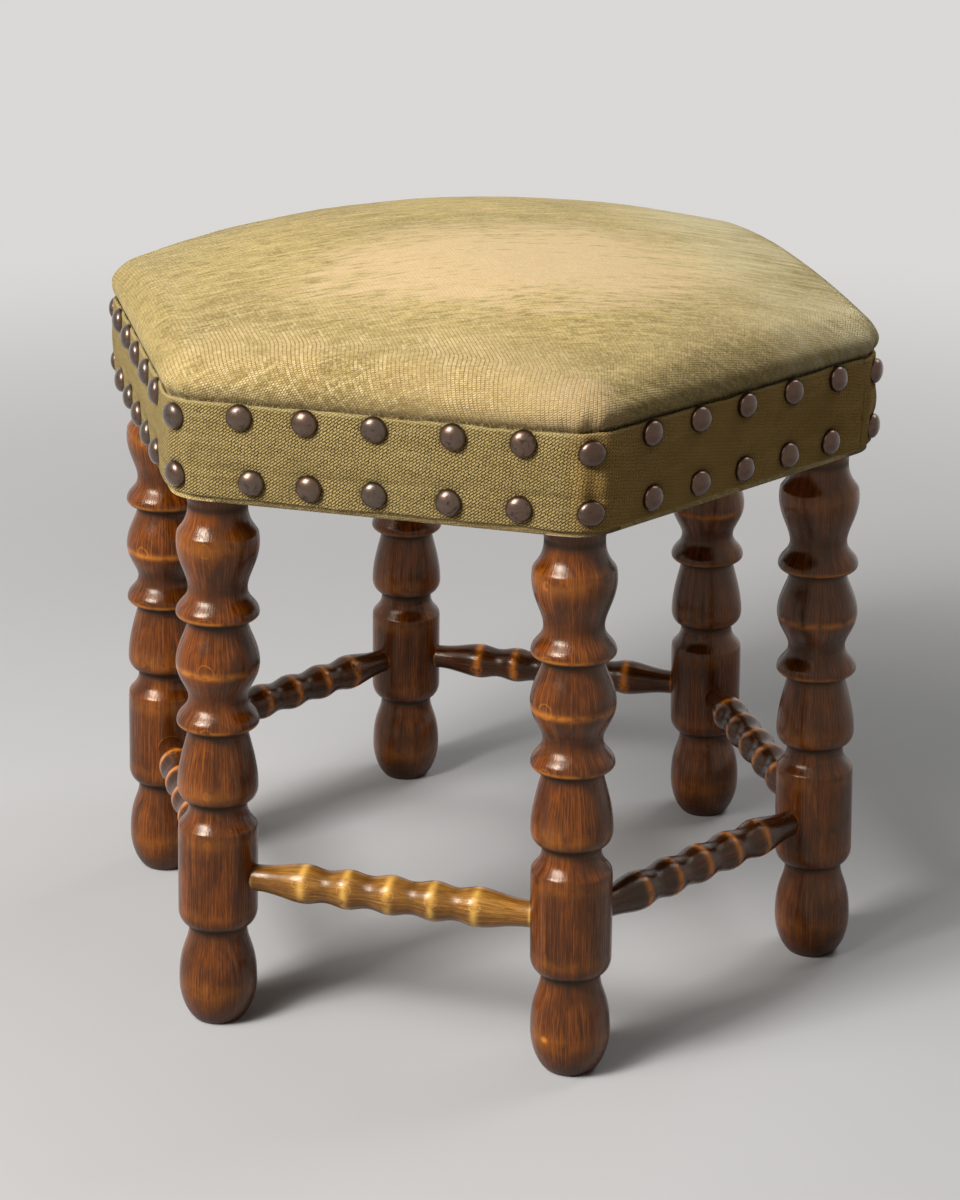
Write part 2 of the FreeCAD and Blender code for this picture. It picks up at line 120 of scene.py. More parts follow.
print("points closer than", same_place, "mm are merged")

# %% [markdown]
# ## Unevenness
# Nothing handmade is quite even: turned wood is a little out of round and cloth sags here and there. A
# noise texture could move the points, but a sum of a few sines is smooth, the same every time, and needs
# only the places of the points.


# %% Unevenness
def waves(seed, *axes):
    """Smooth unevenness from -1 to 1: the sum of five sines of the axes, each faster and weaker."""
    total = 0
    for step in range(1, 6):
        phase = seed * 1.7 + step * 2.3
        angle = phase
        for place, axis in enumerate(axes):
            angle = angle + axis * step * (1 + 0.37 * math.sin(phase + 3 * place))
        total = total + np.sin(angle) / step
    return total / 2.3


print("waves at 0, 1 and 2:", np.round(waves(1, np.arange(3.0)), 2))

# %% [markdown]
# ## Turned outlines
# A turner cuts swells between waists. Each half of a swell is a cubic curve here, which leaves the waist
# as a cove, a neck or an undercut and comes upright at the widest point. A spline through traced points
# would follow one photograph, while these few shares can be read and changed one by one.


# %% Turned outlines
def cubic(poles, count):
    """Points of a cubic curve: each pole weighted by a power of t and a power of what is left of it."""
    t = np.linspace(0, 1, count)[:, None]
    left = 1 - t
    return left ** 3 * poles[0] + 3 * t * left ** 2 * poles[1] + 3 * t ** 2 * left * poles[2] + t ** 3 * poles[3]


def swell(waist_point, widest, leave, hold, count):
    """Half a swell from a waist to a widest point, both (radius, height).

    The curve leaves the waist by shares of its run outward and along, and comes to the widest point in
    line with the axis over its last share.
    """
    out, along = widest[0] - waist_point[0], widest[1] - waist_point[1]
    return cubic(np.array([
        waist_point,
        (waist_point[0] + leave[0] * out, waist_point[1] + leave[1] * along),
        (widest[0], widest[1] - hold * along),
        widest,
    ]), count)


def even(outline, step):
    """The same outline with points spaced evenly along it: each is read off at a multiple of the step."""
    length = np.concatenate([[0], np.cumsum(np.hypot(*np.diff(outline, axis=0).T))])
    keep = np.concatenate([[True], np.diff(length) > 1e-9])
    length, outline = length[keep], outline[keep]
    where = np.linspace(0, length[-1], int(length[-1] / step) + 1)
    return np.stack([np.interp(where, length, outline[:, 0]), np.interp(where, length, outline[:, 1])], 1)


print("a cove of 4 points:", np.round(swell((14, 0), (20, 10), (0.0, 0.5), 0.4, 4), 1).tolist())

# %% [markdown]
# ## Outline of a leg
# A leg is one turned outline: foot, barrel, egg, ring, ball, ring, vase and collar, standing on each
# other with a narrow waist between two members. It could be modelled member by member, but a turner
# works along one piece of wood, and one outline keeps every waist closed.

# %% Outline of a leg
waist, sole_radius = 14.6, 12.5
soft, crisp = 0.42, 0.16
cove, neck, undercut = (0.0, 0.50), (0.0, 0.27), (0.70, 0.08)
shoulder, full = (0.60, 0.30), (0.10, 0.18)
foot_height, barrel_height, vase_height, collar_height = 52.1, 67.7, 42.6, 11.1
# Height, radius, share of the height below the widest point, and how the lower and upper halves leave.
egg = (38.8, 20.2, 0.19, undercut, full)
ring_member = (16.0, 20.55, 0.21, undercut, cove)
ball = (40.8, 20.7, 0.444, neck, neck)


def leg_outline():
    """Radius and height of a leg from the sole up to the seat frame: swells joined end to end."""
    level = foot_height
    widest = (19.8, 0.40 * level)
    parts = [swell((sole_radius, 0.0), widest, (0.51, 0.17), 0.45, 60),
             swell((waist, level), widest, (0.0, 0.38), 0.62, 60)[::-1]]
    low, high, crease = (20.1, level + 8.2), (20.1, level + 50.0), (19.9, level + 53.6)
    parts += [swell((waist, level), low, undercut, soft, 40), np.array([low, high]),
              swell(crease, high, shoulder, soft, 30)[::-1]]
    level += barrel_height
    neck_low = (waist, level - 2.6)
    parts += [swell(neck_low, crease, (0.0, 0.62), 0.20, 40)[::-1], np.array([neck_low, (waist, level)])]
    for height, radius, share, lower, upper in (egg, ring_member, ball, ring_member):
        widest = (radius, level + share * height)
        parts.append(swell((waist, level), widest, lower, soft, 40))
        level += height
        parts.append(swell((waist, level), widest, upper, soft, 40)[::-1])
    widest, crease = (20.4, level + 23.6), (20.1, level + 27.8)
    parts += [swell((waist, level), widest, neck, soft, 40), swell(crease, widest, shoulder, soft, 30)[::-1]]
    level += vase_height
    parts += [swell((waist, level), crease, (0.0, 0.68), crisp, 40)[::-1],
              swell((waist, level), (18.2, level + collar_height), (0.0, 0.45), 0.12, 40)]
    return np.vstack(parts)


leg_step, sole_rim = 0.55, 11.9
outline = even(leg_outline(), leg_step)
outline = np.vstack([[(0.0, 0.0), (sole_rim, 0.0)], outline, [(0.0, leg_length)]])
print("leg outline", len(outline), "points, widest", round(2 * float(outline[:, 0].max()), 1), "mm")

# %% [markdown]
# ## Legs
# Each leg is the outline carried round its axis, leaned outward and turned to its corner. A screw modifier would turn
# it too. Done on a grid, every point also knows its height and angle, and from these come the fields that the wood
# reads: grain and comb for its growth and fibres, level for a cut growth ring, rubbed where hands and feet have worn
# the stain through, and a field of dirt and painted shade: darker at the sole, and painted shade in the waists between
# members and at the top under the seat.

# %% Turned legs
# Each row is a height, a half width and a strength.
rubbed_rows = (
    (161.3, 0.9, 1.0), (218.2, 0.9, 1.0), (256.0, 5.0, 0.24), (102.0, 4.0, 0.16),
    (191.0, 1.7, 0.75), (127.0, 6.0, 0.22), (20.0, 5.0, 0.18), (62.0, 3.0, 0.12))
# Dark rows: darker at the sole, and painted shade in the waists between members and under the seat.
dirt_and_shade_rows = (
    (52.3, 2.7, 1.2), (120.0, 2.8, 1.2), (158.6, 2.6, 1.2), (215.4, 2.6, 1.2), (273.8, 2.2, 1.0),
    (175.5, 5.0, 0.45), (232.5, 5.0, 0.45), (2.0, 9.0, 0.75), (282.0, 4.0, 0.6))
figure_angles = (20, 110, 200, 75, 33, -56)
plank_shift, billet_shift = 61.0, 400.0
comb_radius, ring_depth = 20.0, 20.3
out_of_round = 0.005
chipped_leg, chip_height = 5, 21.0


def humps(height, rows):
    """Sum of soft humps along a height: each is its strength times a bell curve about its centre."""
    return sum(strength * np.exp(-((height - centre) / width) ** 2) for centre, width, strength in rows)


def splayed(points, number):
    """Stands points made about a leg's own axis at a corner: leaned outward, then turned into place."""
    lean, corner = math.radians(splay), math.radians(turn * number)
    x, y, s = points[..., 0], points[..., 1], points[..., 2] - leg_length
    out = leg_circle + x * math.cos(lean) - s * math.sin(lean)
    up = under + x * math.sin(lean) + s * math.cos(lean)
    return np.stack([out * math.cos(corner) - y * math.sin(corner),
                     out * math.sin(corner) + y * math.cos(corner), up], -1)


def turned_leg(number):
    """One leg: radius and height of the outline at 96 angles, with the fields of its wood."""
    angle, height = np.meshgrid(np.linspace(0, 2 * math.pi, 96, endpoint=False), outline[:, 1], indexing="ij")
    radius = outline[None, :, 0] * (1 + out_of_round * waves(number + 1, 2 * angle, height / 19))
    points = splayed(np.stack([radius * np.cos(angle), radius * np.sin(angle), height], -1), number)
    points[..., 2] = np.clip(points[..., 2], 0.0, under)
    figure = angle - math.radians(figure_angles[number])
    aside, along = plank_shift * number, height + billet_shift * number
    chip = 2.0 * np.exp(-((height - chip_height) / 1.3) ** 2 - (1 - np.cos(figure)) * 420)
    leg = surface("turned_leg_%d" % (number + 1), points, closed=True, fields={
        "grain": np.stack([radius * np.cos(figure) + aside, radius * np.sin(figure), along], -1),
        "comb": np.stack([comb_radius * np.cos(figure) + aside, comb_radius * np.sin(figure), along], -1),
        "level": radius * np.cos(figure) - ring_depth,
        "rubbed": humps(height, rubbed_rows) + (number == chipped_leg) * chip,
        "dirt_and_shade": humps(height, dirt_and_shade_rows),
    })
    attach(leg, "root")
    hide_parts("leg_%d" % (number + 1))
    return leg


legs = [turned_leg(number) for number in range(SIDES)]
print("legs", len(legs), "points each", len(legs[0].data.vertices))

# %% [markdown]
# ## Stretchers
# A stretcher ties two legs low down. It is turned as well: plain round ends, a long taper, and five ridges
# with hollows between. The ridges could be modelled one by one, but a cosine along the rod gives all five
# alike. The rod runs on into the legs, as the real one is let into them, so no end shows.

# %% Turned stretchers
stretcher_level, ridge_pitch, taper = 79.0, 22.4, 27.0
end_radius, ridge_radius, ridge_depth = 6.7, 10.1, 0.9
stretcher_circle = leg_circle + (under - stretcher_level) * math.tan(math.radians(splay))
bore_depth = 5.4
rod_step, rod_angles = 0.6, 56
rod_shift = np.array([37.0, 71.0, 300.0])
rod_rubbed_rows = ((72.5, 0.8, 0.9),)
# Dark rows: a darker ring near each end, and painted shade in the hollows between the ridges.
rod_dirt_and_shade_rows = ((75.5, 1.8, 0.9), (11.2, 3.0, 0.35), (33.6, 3.0, 0.35))


def stretcher_outline():
    """Radius and place along a stretcher: end, cubic taper, a cosine for the ridges, taper and end."""
    half, last = stretcher_circle / 2 - bore_depth, 2 * ridge_pitch
    rise = cubic(np.array([
        (end_radius, last + taper), (end_radius, last + 0.55 * taper),
        (9.83, last + 0.32 * taper), (ridge_radius, last)]), 40)
    place = np.linspace(-last, last, 200)
    hollows = np.stack([9.2 + ridge_depth * np.cos(2 * math.pi * place / ridge_pitch), place], 1)
    mirrored = rise * np.array([1, -1])
    return np.vstack([[(end_radius, -half)], mirrored, hollows, rise[::-1], [(end_radius, half)]])


rod = even(stretcher_outline(), rod_step)
rod = np.vstack([rod[:1] * [0, 1], rod, rod[-1:] * [0, 1]])


def turned_stretcher(number):
    """One stretcher: the outline at 56 angles, laid level along a side, with the fields of its wood."""
    angle, place = np.meshgrid(np.linspace(0, 2 * math.pi, rod_angles, endpoint=False), rod[:, 1], indexing="ij")
    radius = rod[None, :, 0] * (1 + 0.0085 * waves(number + 11, 2 * angle, place / 13))
    local = np.stack([radius * np.cos(angle), radius * np.sin(angle), place], -1)
    side = math.radians(turn * (number + 0.5))
    out = stretcher_circle * hexagon_cos + local[..., 0]
    points = np.stack([
        out * math.cos(side) - place * math.sin(side),
        out * math.sin(side) + place * math.cos(side),
        stretcher_level - local[..., 1]], -1)
    ridges = (0.5 + 0.5 * np.cos(2 * math.pi * place / ridge_pitch)) ** 12
    crest = np.where(np.abs(place) < 2.5 * ridge_pitch, ridges, 0)
    fibres = np.stack([9.5 * np.cos(angle), 9.5 * np.sin(angle), place], -1)
    stretcher = surface("turned_stretcher_%d" % (number + 1), points, closed=True, fields={
        "grain": local + rod_shift * (number + 7),
        "comb": fibres + rod_shift * (number + 7),
        "level": radius * np.cos(angle - 1.9 - number) - 9.7,
        "rubbed": crest + humps(np.abs(place), rod_rubbed_rows),
        "dirt_and_shade": humps(np.abs(place), rod_dirt_and_shade_rows),
    })
    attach(stretcher, "root")
    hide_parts("stretcher_%d" % (number + 1))
    return stretcher


stretchers = [turned_stretcher(number) for number in range(SIDES)]
print("stretchers", len(stretchers), "points each", len(stretchers[0].data.vertices))

# %% [markdown]
# ## Rounded hexagons
# Cloth round this seat follows a hexagon with rounded corners. A bevelled circle of six points would give
# one such ring, but rings of any size are needed, with the same number of points in step with each other,
# and with the outward direction and the length along the ring at every point.


# %% Rounded hexagons
def hexagon_ring(apothem, rounding, count):
    """Points evenly round a hexagon with rounded corners, the outward angle at each and the length along.

    Each corner is an arc and each side a line; all six repeat one corner and one side.
    """
    arc = rounding * math.radians(turn)
    side = 2 * (apothem - rounding) * math.tan(math.radians(turn / 2))
    where = np.linspace(0, SIDES * (arc + side), count, endpoint=False) - arc / 2
    corner = np.floor((where + arc / 2) / (arc + side))
    along = where + arc / 2 - corner * (arc + side)
    on_arc = np.clip(along / max(arc, 1e-6), 0, 1)
    facing = np.radians(corner * turn + (on_arc - 0.5) * turn)
    centre = np.radians(corner * turn)
    reach = (apothem - rounding) / hexagon_cos
    past = np.clip(along - arc, 0, None)
    x = reach * np.cos(centre) + rounding * np.cos(facing) - past * np.sin(facing)
    y = reach * np.sin(centre) + rounding * np.sin(facing) + past * np.cos(facing)
    return np.stack([x, y], 1), facing, where


def from_corner(ring):
    """Degrees from the nearest corner of the hexagon at each point of a ring."""
    return (np.degrees(np.arctan2(ring[:, 1], ring[:, 0])) + turn / 2) % turn - turn / 2


frame_length = hexagon_ring(frame_apothem, frame_round, 720)[2]
print("length round the frame", round(float(frame_length[-1]), 1), "mm")

# %% [markdown]
# ## Crown and rolled edge
# The seat is stuffed to a shallow crown with a soft rolled edge. It could be blown up by a cloth
# simulation, but this seat is stuffed tight and old, and its crown and edge can be measured, so a formula
# comes closer: a shallow ball, a quarter circle at the edge where the two slopes meet, a little
# unevenness.

# %% Crown and rolled edge
cover = 1.6
crown_top, crown_radius = rail_top + 47.0, 730.0
seat_points = 720
seat_apothem, seat_round, roll = frame_apothem + cover, frame_round + cover, 17.0
least_round = 6.0


def crown(ring):
    """Height of the stuffed crown over plan points: a shallow ball, uneven, a little fuller at the back."""
    x, y = ring[:, 0], ring[:, 1]
    ball_height = crown_top + cover - crown_radius + np.sqrt(crown_radius ** 2 - x ** 2 - y ** 2)
    back = 2.6 * np.exp(-(((x - 25) / 130) ** 2 + ((y - 175) / 70) ** 2))
    return ball_height + back + 0.7 * waves(3, x / 55, y / 48) + 0.25 * waves(5, x / 21, y / 24)


rim, facing, run = hexagon_ring(seat_apothem, seat_round, seat_points)
outward = np.stack([np.cos(facing), np.sin(facing)], 1)
inner, _, _ = hexagon_ring(seat_apothem - roll, max(seat_round - roll, least_round), seat_points)
slope = (crown(inner) - crown(rim)) / roll
steep = np.hypot(1, slope)
roll_level = crown(rim) + slope * roll - roll * steep
roll_start = roll * (1 - slope / steep)
crown_insets = np.linspace(seat_apothem - 1.0, roll, 60)[:-1]
roll_insets = roll * (1 - np.sin(np.linspace(0, math.pi / 2, 24)))
seat_rows = [np.column_stack([0 * rim, crown(0 * rim)])]
for inset in np.concatenate([crown_insets, roll_insets]):
    rounding = max(seat_round - inset, least_round * (1 - inset / seat_apothem))
    ring, _, _ = hexagon_ring(seat_apothem - inset, rounding, seat_points)
    rolled = roll_level + np.sqrt(np.clip(roll ** 2 - (roll - inset) ** 2, 0, None))
    seat_rows.append(np.column_stack([ring, np.where(inset < roll_start, rolled, crown(ring))]))
print("rings of the crown and edge", len(seat_rows))

# %% [markdown]
# ## Skirt and hem
# Below the edge the velvet runs down the rails behind the border, and its hem is turned under them and
# cut round each leg. The border draws it in, so the cloth bulges just above and shows small pleats at the
# corners. These could be sculpted; here they are bell curves of the height over the border.

# %% Skirt and hem
band_low, band_high = under + 1.4, under + 48.0
hem_width, leg_cutout = 22.0, 18.7
top_of_side = seat_rows[-1][:, 2]
for share in np.linspace(0, 1, 26)[1:]:
    seat_rows.append(np.column_stack([rim, top_of_side + (under - cover - top_of_side) * share ** 1.6]))
corner_near = np.exp(-from_corner(rim) ** 2 / 18)
for row in seat_rows:
    over = row[:, 2] - band_high
    bulge = 2.4 * np.exp(-((over - 9) / 7) ** 2) - 1.5 * np.exp(-((over - 0.2) / 1.8) ** 2) - 0.6 * (over < 0)
    pleat = 0.7 * corner_near * np.sin(run / 1.7) * np.exp(-((over - 5) / 6) ** 2)
    near_rim = np.clip(1 - np.hypot(*(row[:, :2] - rim).T) / (1.6 * roll), 0, 1)
    row[:, :2] += outward * ((bulge + pleat) * near_rim)[:, None]
hem_ring, _, _ = hexagon_ring(frame_apothem - hem_width, frame_round, seat_points)
rim_reach = np.hypot(*rim.T)
across = np.abs(rim_reach * np.sin(np.radians(from_corner(rim))))
leg_side = leg_circle + np.sqrt(np.clip(leg_cutout ** 2 - across ** 2, 0, None))
stop = np.where(across < leg_cutout, leg_side / rim_reach, np.hypot(*hem_ring.T) / rim_reach)
for share in (0.02, 0.1, 0.5, 1.0):
    scale = 1 - (1 - stop) * share
    hem_level = np.full(seat_points, under - cover)
    seat_rows.append(np.column_stack([rim * scale[:, None] - outward * 0.4, hem_level]))
print("rings down to the hem", len(seat_rows))

# %% [markdown]
# ## The padded seat
# All rings together make one padded piece, in the place of the cover, the cotton and the stuffing. Its material needs
# to know how the cloth lies: cloth is the flat place of every point, its direction from the middle times the length
# over the surface, and the tuck field is 1 in the line above the border where shade is painted. A UV unwrap could give
# the first, with more stretch at the edge.

# %% Padded seat
tuck_shade_width, ray_row = 3.0, 41
seat_grid = np.stack(seat_rows, 0)
over = seat_grid[..., 2] - band_high
# The tuck, where the cloth turns under above the border: the velvet paints shade there.
tuck_shade = np.exp(-(np.clip(over - 0.4, 0, None) / tuck_shade_width) ** 2) * (over > -2)
steps = np.linalg.norm(np.diff(seat_grid, axis=0), axis=2)
spread = np.concatenate([np.zeros((1, seat_points)), steps]).cumsum(axis=0)
ray = seat_rows[ray_row][:, :2] / np.linalg.norm(seat_rows[ray_row][:, :2], axis=1, keepdims=True)
cloth = np.dstack([ray[None] * spread[..., None], np.zeros(spread.shape)])
seat = surface("velvet_seat", np.swapaxes(seat_grid[::-1], 0, 1), closed=True, fields={
    "tuck_shade": tuck_shade[::-1].T, "cloth": np.swapaxes(cloth[::-1], 0, 1) * mm})
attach(seat, "root")
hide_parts("seat_cover", "wadding", "stuffing")
print("seat points", len(seat.data.vertices), "crown", round(float(seat_grid[..., 2].max()), 2))

# %% [markdown]
# ## Places of the nails
# Two rows of domed nails hold the border, one nail at every corner and five along every side. They were
# driven by eye, so they are not quite even, and the drift of each was read from the two front sides. An
# array modifier would space them too well. Each nail pulls the cloth in, so the places come before the
# border.

# %% Places of the nails
band_cloth = 1.8
band_apothem, band_round = frame_apothem + cover + band_cloth, frame_round + cover + band_cloth
band_reach = (band_apothem - band_round) / hexagon_cos + band_round
nails_per_side = 5
upper_drift = ((0.01, -0.04, -0.04, 0.08, 0.07), (0.08, 0.05, 0.03, 0.02, 0.02))
lower_drift = ((0.17, 0.01, -0.04, 0.02, 0.02), (0.12, 0.08, 0.02, -0.02, -0.09))


def nail_places(height, corner_drop, drift):
    """Centre and outward angle of each nail of a row: a corner, then equal steps along a side plus drift."""
    seats = []
    side_length = 2 * band_reach * math.sin(math.radians(turn / 2))
    for side in range(SIDES):
        corner = math.radians(side * turn)
        seats.append((band_reach * math.cos(corner), band_reach * math.sin(corner), height - corner_drop, corner))
        face = corner + math.radians(turn / 2)
        for step, shift in enumerate(drift[side % 2], 1):
            along = ((step + shift) / (nails_per_side + 1) - 0.5) * side_length
            seats.append((band_apothem * math.cos(face) - along * math.sin(face),
                          band_apothem * math.sin(face) + along * math.cos(face), height, face))
    return np.array(seats)


upper = nail_places(band_high - 6.0, 3.0, upper_drift)
lower = nail_places(band_low + 9.0, 0.0, lower_drift)
print("nails in a row", len(upper), len(lower))

# %% [markdown]
# ## Border band
# The border is one strip of twill with both edges folded in, laid round the seat and nailed on. A cloth
# simulation could drape it, but it is stretched and nailed every few centimetres, so its section is
# carried along the ring instead, with a belly between the rows, a dimple at every nail, some slack, and
# puckers at the corners. Its UV map is the strip's own length and width, for the weave.

# %% Section of the border
fold = 1.1
middle, half_height = (band_low + band_high) / 2, (band_high - band_low) / 2
quarter = np.linspace(-math.pi / 2, 0, 8)
folded = np.stack([-fold + fold * np.cos(quarter), fold * np.sin(quarter)], 1)
face_levels = middle + (half_height - fold) * np.linspace(-1, 1, 40)
section = np.vstack([
    [(-2.2, band_low + 7.0), (-2.3, band_low + 1.6)],
    folded + (0.0, band_low + fold),
    np.stack([np.zeros(40), face_levels], 1),
    folded[::-1] * (1, -1) + (0.0, band_high - fold),
    [(-2.4, band_high - 0.8), (-2.3, band_high - 7.0)]])
width_along = np.concatenate([[0], np.cumsum(np.hypot(*np.diff(section, axis=0).T))])
print("border section", len(section), "points, flat width", round(float(width_along[-1]), 1), "mm")

# %% Border band
ring, facing, run = hexagon_ring(band_apothem, band_round, 1440)
outward = np.stack([np.cos(facing), np.sin(facing)], 1)
place = ring[:, None, :]
out = np.broadcast_to(section[:, 0], (len(run), len(section)))
height = np.broadcast_to(section[:, 1], out.shape)
pull = np.zeros(out.shape)
for x, y, z, _ in np.vstack([upper, lower]):
    apart = (place[..., 0] - x) ** 2 + (place[..., 1] - y) ** 2 + (height - z) ** 2
    pull = np.maximum(pull, np.exp(-apart / 90.0))
belly = 1 - ((height - middle) / half_height) ** 2
crease = np.exp(-((height - band_low - 15 - 1.5 * np.sin(run / 37)[:, None]) / 1.6) ** 2)
slack = waves(8, run[:, None] / 23, height / 13) * 0.5 + waves(9, run[:, None] / 9, height / 17) * 0.2
pucker = 0.45 * np.exp(-(from_corner(ring) / 3.5) ** 2) * np.sin(run / 1.9)
out = out + pucker[:, None] * np.clip(belly + 0.35, 0, 1)
out = out + 0.8 * belly - 1.1 * pull + slack * np.clip(belly, 0, 1) - 0.5 * crease
sway = 0.5 * waves(12, run / 19) + 0.35 * waves(13, run / 7)
height = height + sway[:, None] * np.clip((height - middle) / 20, -1, 1) ** 3
points = np.concatenate([place + outward[:, None, :] * out[..., None], height[..., None]], -1)
uv = np.stack(np.broadcast_arrays(run[:, None] * mm, width_along[None, :] * mm), -1)
seam = int(np.argmin(np.abs((run - run[0]) - (2 * run[-1] / SIDES))))
band = surface("border_cloth", np.roll(points, -seam, axis=0), uv=np.roll(uv, -seam, axis=0),
               fields={"pull": np.roll(pull, -seam, axis=0)})
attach(band, "root")
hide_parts("border_band")

# %% [markdown]
# ## Domed nails
# A nail head is a thin dome on a short rim. One mesh copied to every place would be lighter, but real
# heads are struck one by one, so each is tipped a degree or two and is not quite round. All heads of a row
# are one stack of grids and one piece, and the field own gives each head a number for its colour.

# %% Domed nails
head_radius, head_rise = 6.4, 3.8
head_angles = np.linspace(0, 2 * math.pi, 40, endpoint=False)
dome = [(head_radius * math.cos(a), 0.6 + head_rise * math.sin(a)) for a in np.linspace(0.12, math.pi / 2, 15)]
head_profile = np.array([(6.45, -0.6), (6.5, 0.2), (6.42, 0.55)] + dome)


def domed_nails(name, seats, node, seed):
    """All heads of a row: the profile turned about each nail's outward axis, tipped by small sines."""
    grids, own = [], []
    for number, (x, y, z, face) in enumerate(seats):
        angle, r = np.meshgrid(head_angles, head_profile[:, 0], indexing="ij")
        lift = np.broadcast_to(head_profile[:, 1], r.shape)
        r = r * (1 + 0.012 * np.sin(2 * angle + number + seed))
        tip, yaw = 0.05 * math.sin(2.1 * number + seed), 0.05 * math.cos(3.3 * number + seed)
        aside, rise = r * np.cos(angle), r * np.sin(angle)
        off = lift - 0.35 + aside * yaw + rise * tip
        grids.append(np.stack([
            x + off * math.cos(face) - aside * math.sin(face),
            y + off * math.sin(face) + aside * math.cos(face),
            z + rise], -1))
        own.append(np.full(r.shape, (0.618 * number + 0.13 * seed) % 1))
    piece = surface(name, np.stack(grids), closed=True, fields={"own": np.stack(own)})
    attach(piece, "root")
    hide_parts(node)
    return piece


nails = [domed_nails("upper_nail_heads", upper, "upper_nails", 1),
         domed_nails("lower_nail_heads", lower, "lower_nails", 2)]
print("nail heads", len(upper) + len(lower))

# %% [markdown]
# ## Webbing
# From below, the open frame shows three jute strips each way, woven over and under each other, with their
# ends on the rails. Each is a grid along its length, whose height eases up or down by half a thickness at
# every crossing, which a simulation would only find again. A Solidify modifier gives the thickness.

# %% Webbing strips
webbing_pitch, webbing_width, webbing_thickness = 62.0, 50.0, 1.6
webbing_inner, webbing_turn = frame_apothem - 50.0, 30.0
crossing_reach, crossing_ease, crossing_step = 34.0, 7.0, 0.85


def webbing(row, across_frame, number):
    """A strip of webbing: its height is the sum of eased steps, up or down in turn at each crossing."""
    offset = abs(row * webbing_pitch)
    if across_frame:
        half = min(webbing_inner, (webbing_inner - offset * hexagon_cos) / 0.5) + webbing_turn
    else:
        half = (webbing_inner - offset * 0.5) / hexagon_cos + webbing_turn
    u = np.linspace(-half, half, 160)
    v = np.linspace(-webbing_width / 2, webbing_width / 2, 24)
    step = np.zeros_like(u)
    for crossing in (-1, 0, 1):
        sign = 1 if ((row + crossing) % 2 == 0) != across_frame else -1
        near = np.clip((crossing_reach - np.abs(u - crossing * webbing_pitch)) / crossing_ease, 0, 1)
        step = step + sign * crossing_step * near * near * (3 - 2 * near)
    level = rail_top + 0.1 + step[:, None] + 0.15 * waves(number, u[:, None] / 15, v[None, :] / 8) ** 2
    along, aside = np.meshgrid(u, v, indexing="ij")
    points = np.stack([along, row * webbing_pitch + aside, level], -1)
    if across_frame:
        points = np.stack([-points[..., 1], points[..., 0], points[..., 2]], -1)
    piece = surface("jute_strip_%d" % number, points, uv=np.stack([along * mm, aside * mm], -1))
    thickness = piece.modifiers.new("thickness", "SOLIDIFY")
    thickness.thickness, thickness.offset = webbing_thickness * mm, 1.0
    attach(piece, "root")
    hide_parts("webbing_%d" % number)
    return piece


strip_rows = [(row, across_frame) for across_frame in (False, True) for row in (-1, 0, 1)]
strips = [webbing(row, across_frame, number) for number, (row, across_frame) in enumerate(strip_rows, 1)]
print("webbing strips", len(strips))

# %% [markdown]
# ## Base cloth
# A hexagon of coarse hessian lies on the webbing and carries the stuffing. It shows between the strips
# from below. It could be a flat plate, but rings with a slight sag between the strips catch the light as
# cloth does.

# %% Base cloth
base_edge, base_points = frame_apothem - 6.1, 240
base_level = rail_top + 1.5 * webbing_thickness + 0.2 + 0.45
spans = np.linspace(1.0, base_edge, 70)
base_rows = [np.array([(0.0, 0.0, base_level)] * base_points)]
for apothem in spans:
    ring, _, _ = hexagon_ring(apothem, max(16.0 - (spans[-1] - apothem), 0.2 * apothem), base_points)
    sag = 0.35 * waves(21, ring[:, 0] / 30, ring[:, 1] / 27)
    base_rows.append(np.column_stack([ring, base_level + sag]))
hessian = surface("base_cloth", np.swapaxes(np.stack(base_rows), 0, 1), closed=True)
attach(hessian, "root")
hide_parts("hessian")

# %% [markdown]
# ## Building a material
# Every material here is procedural: a tree of nodes worked out from the piece's own coordinates or
# fields. Trees can be drawn by hand in the shader editor. In code, a few small helpers make each step one
# short line, and a colour is built up as a painter would, one thin layer over another.


# %% Nodes and sums
def add(tree, kind, inputs=None, **settings):
    """Adds a node; an input that is a socket is linked, any other value is set on the socket."""
    node = tree.nodes.new(kind)
    for key, value in settings.items():
        setattr(node, key, value)
    for key, value in (inputs or {}).items():
        if isinstance(value, bpy.types.NodeSocket):
            tree.links.new(value, node.inputs[key])
        else:
            node.inputs[key].default_value = value
    return node


def maths(tree, operation, a, b=0.0, clamp=False):
    """One step of arithmetic on two sockets or numbers."""
    return add(tree, "ShaderNodeMath", {0: a, 1: b}, operation=operation, use_clamp=clamp).outputs[0]


def plus(tree, a, b):
    """a plus b."""
    return maths(tree, "ADD", a, b)


def minus(tree, a, b):
    """a less b."""
    return maths(tree, "SUBTRACT", a, b)


def times(tree, a, b):
    """a times b."""
    return maths(tree, "MULTIPLY", a, b)


def between(tree, value, low, high):
    """0 at low, 1 at high, eased between; low may be the larger one."""
    return add(tree, "ShaderNodeMapRange", {0: value, 1: low, 2: high}, interpolation_type="SMOOTHSTEP").outputs[0]


def begin(name):
    """A new material with its tree and main shader."""
    material = bpy.data.materials.new(name)
    material.use_nodes = True
    tree = material.node_tree
    return material, tree, tree.nodes["Principled BSDF"]


print("materials so far", len(bpy.data.materials))


# %% Patterns, paints and relief
def rgb(r, g, b):
    """A colour with full alpha, in scene-linear values."""
    return (r, g, b, 1.0)


def field(tree, name, vector=False):
    """A field of the mesh, as a number or a vector."""
    return add(tree, "ShaderNodeAttribute", attribute_name=name).outputs["Vector" if vector else "Fac"]


def split(tree, vector):
    """The x, y and z of a vector."""
    return add(tree, "ShaderNodeSeparateXYZ", {0: vector}).outputs


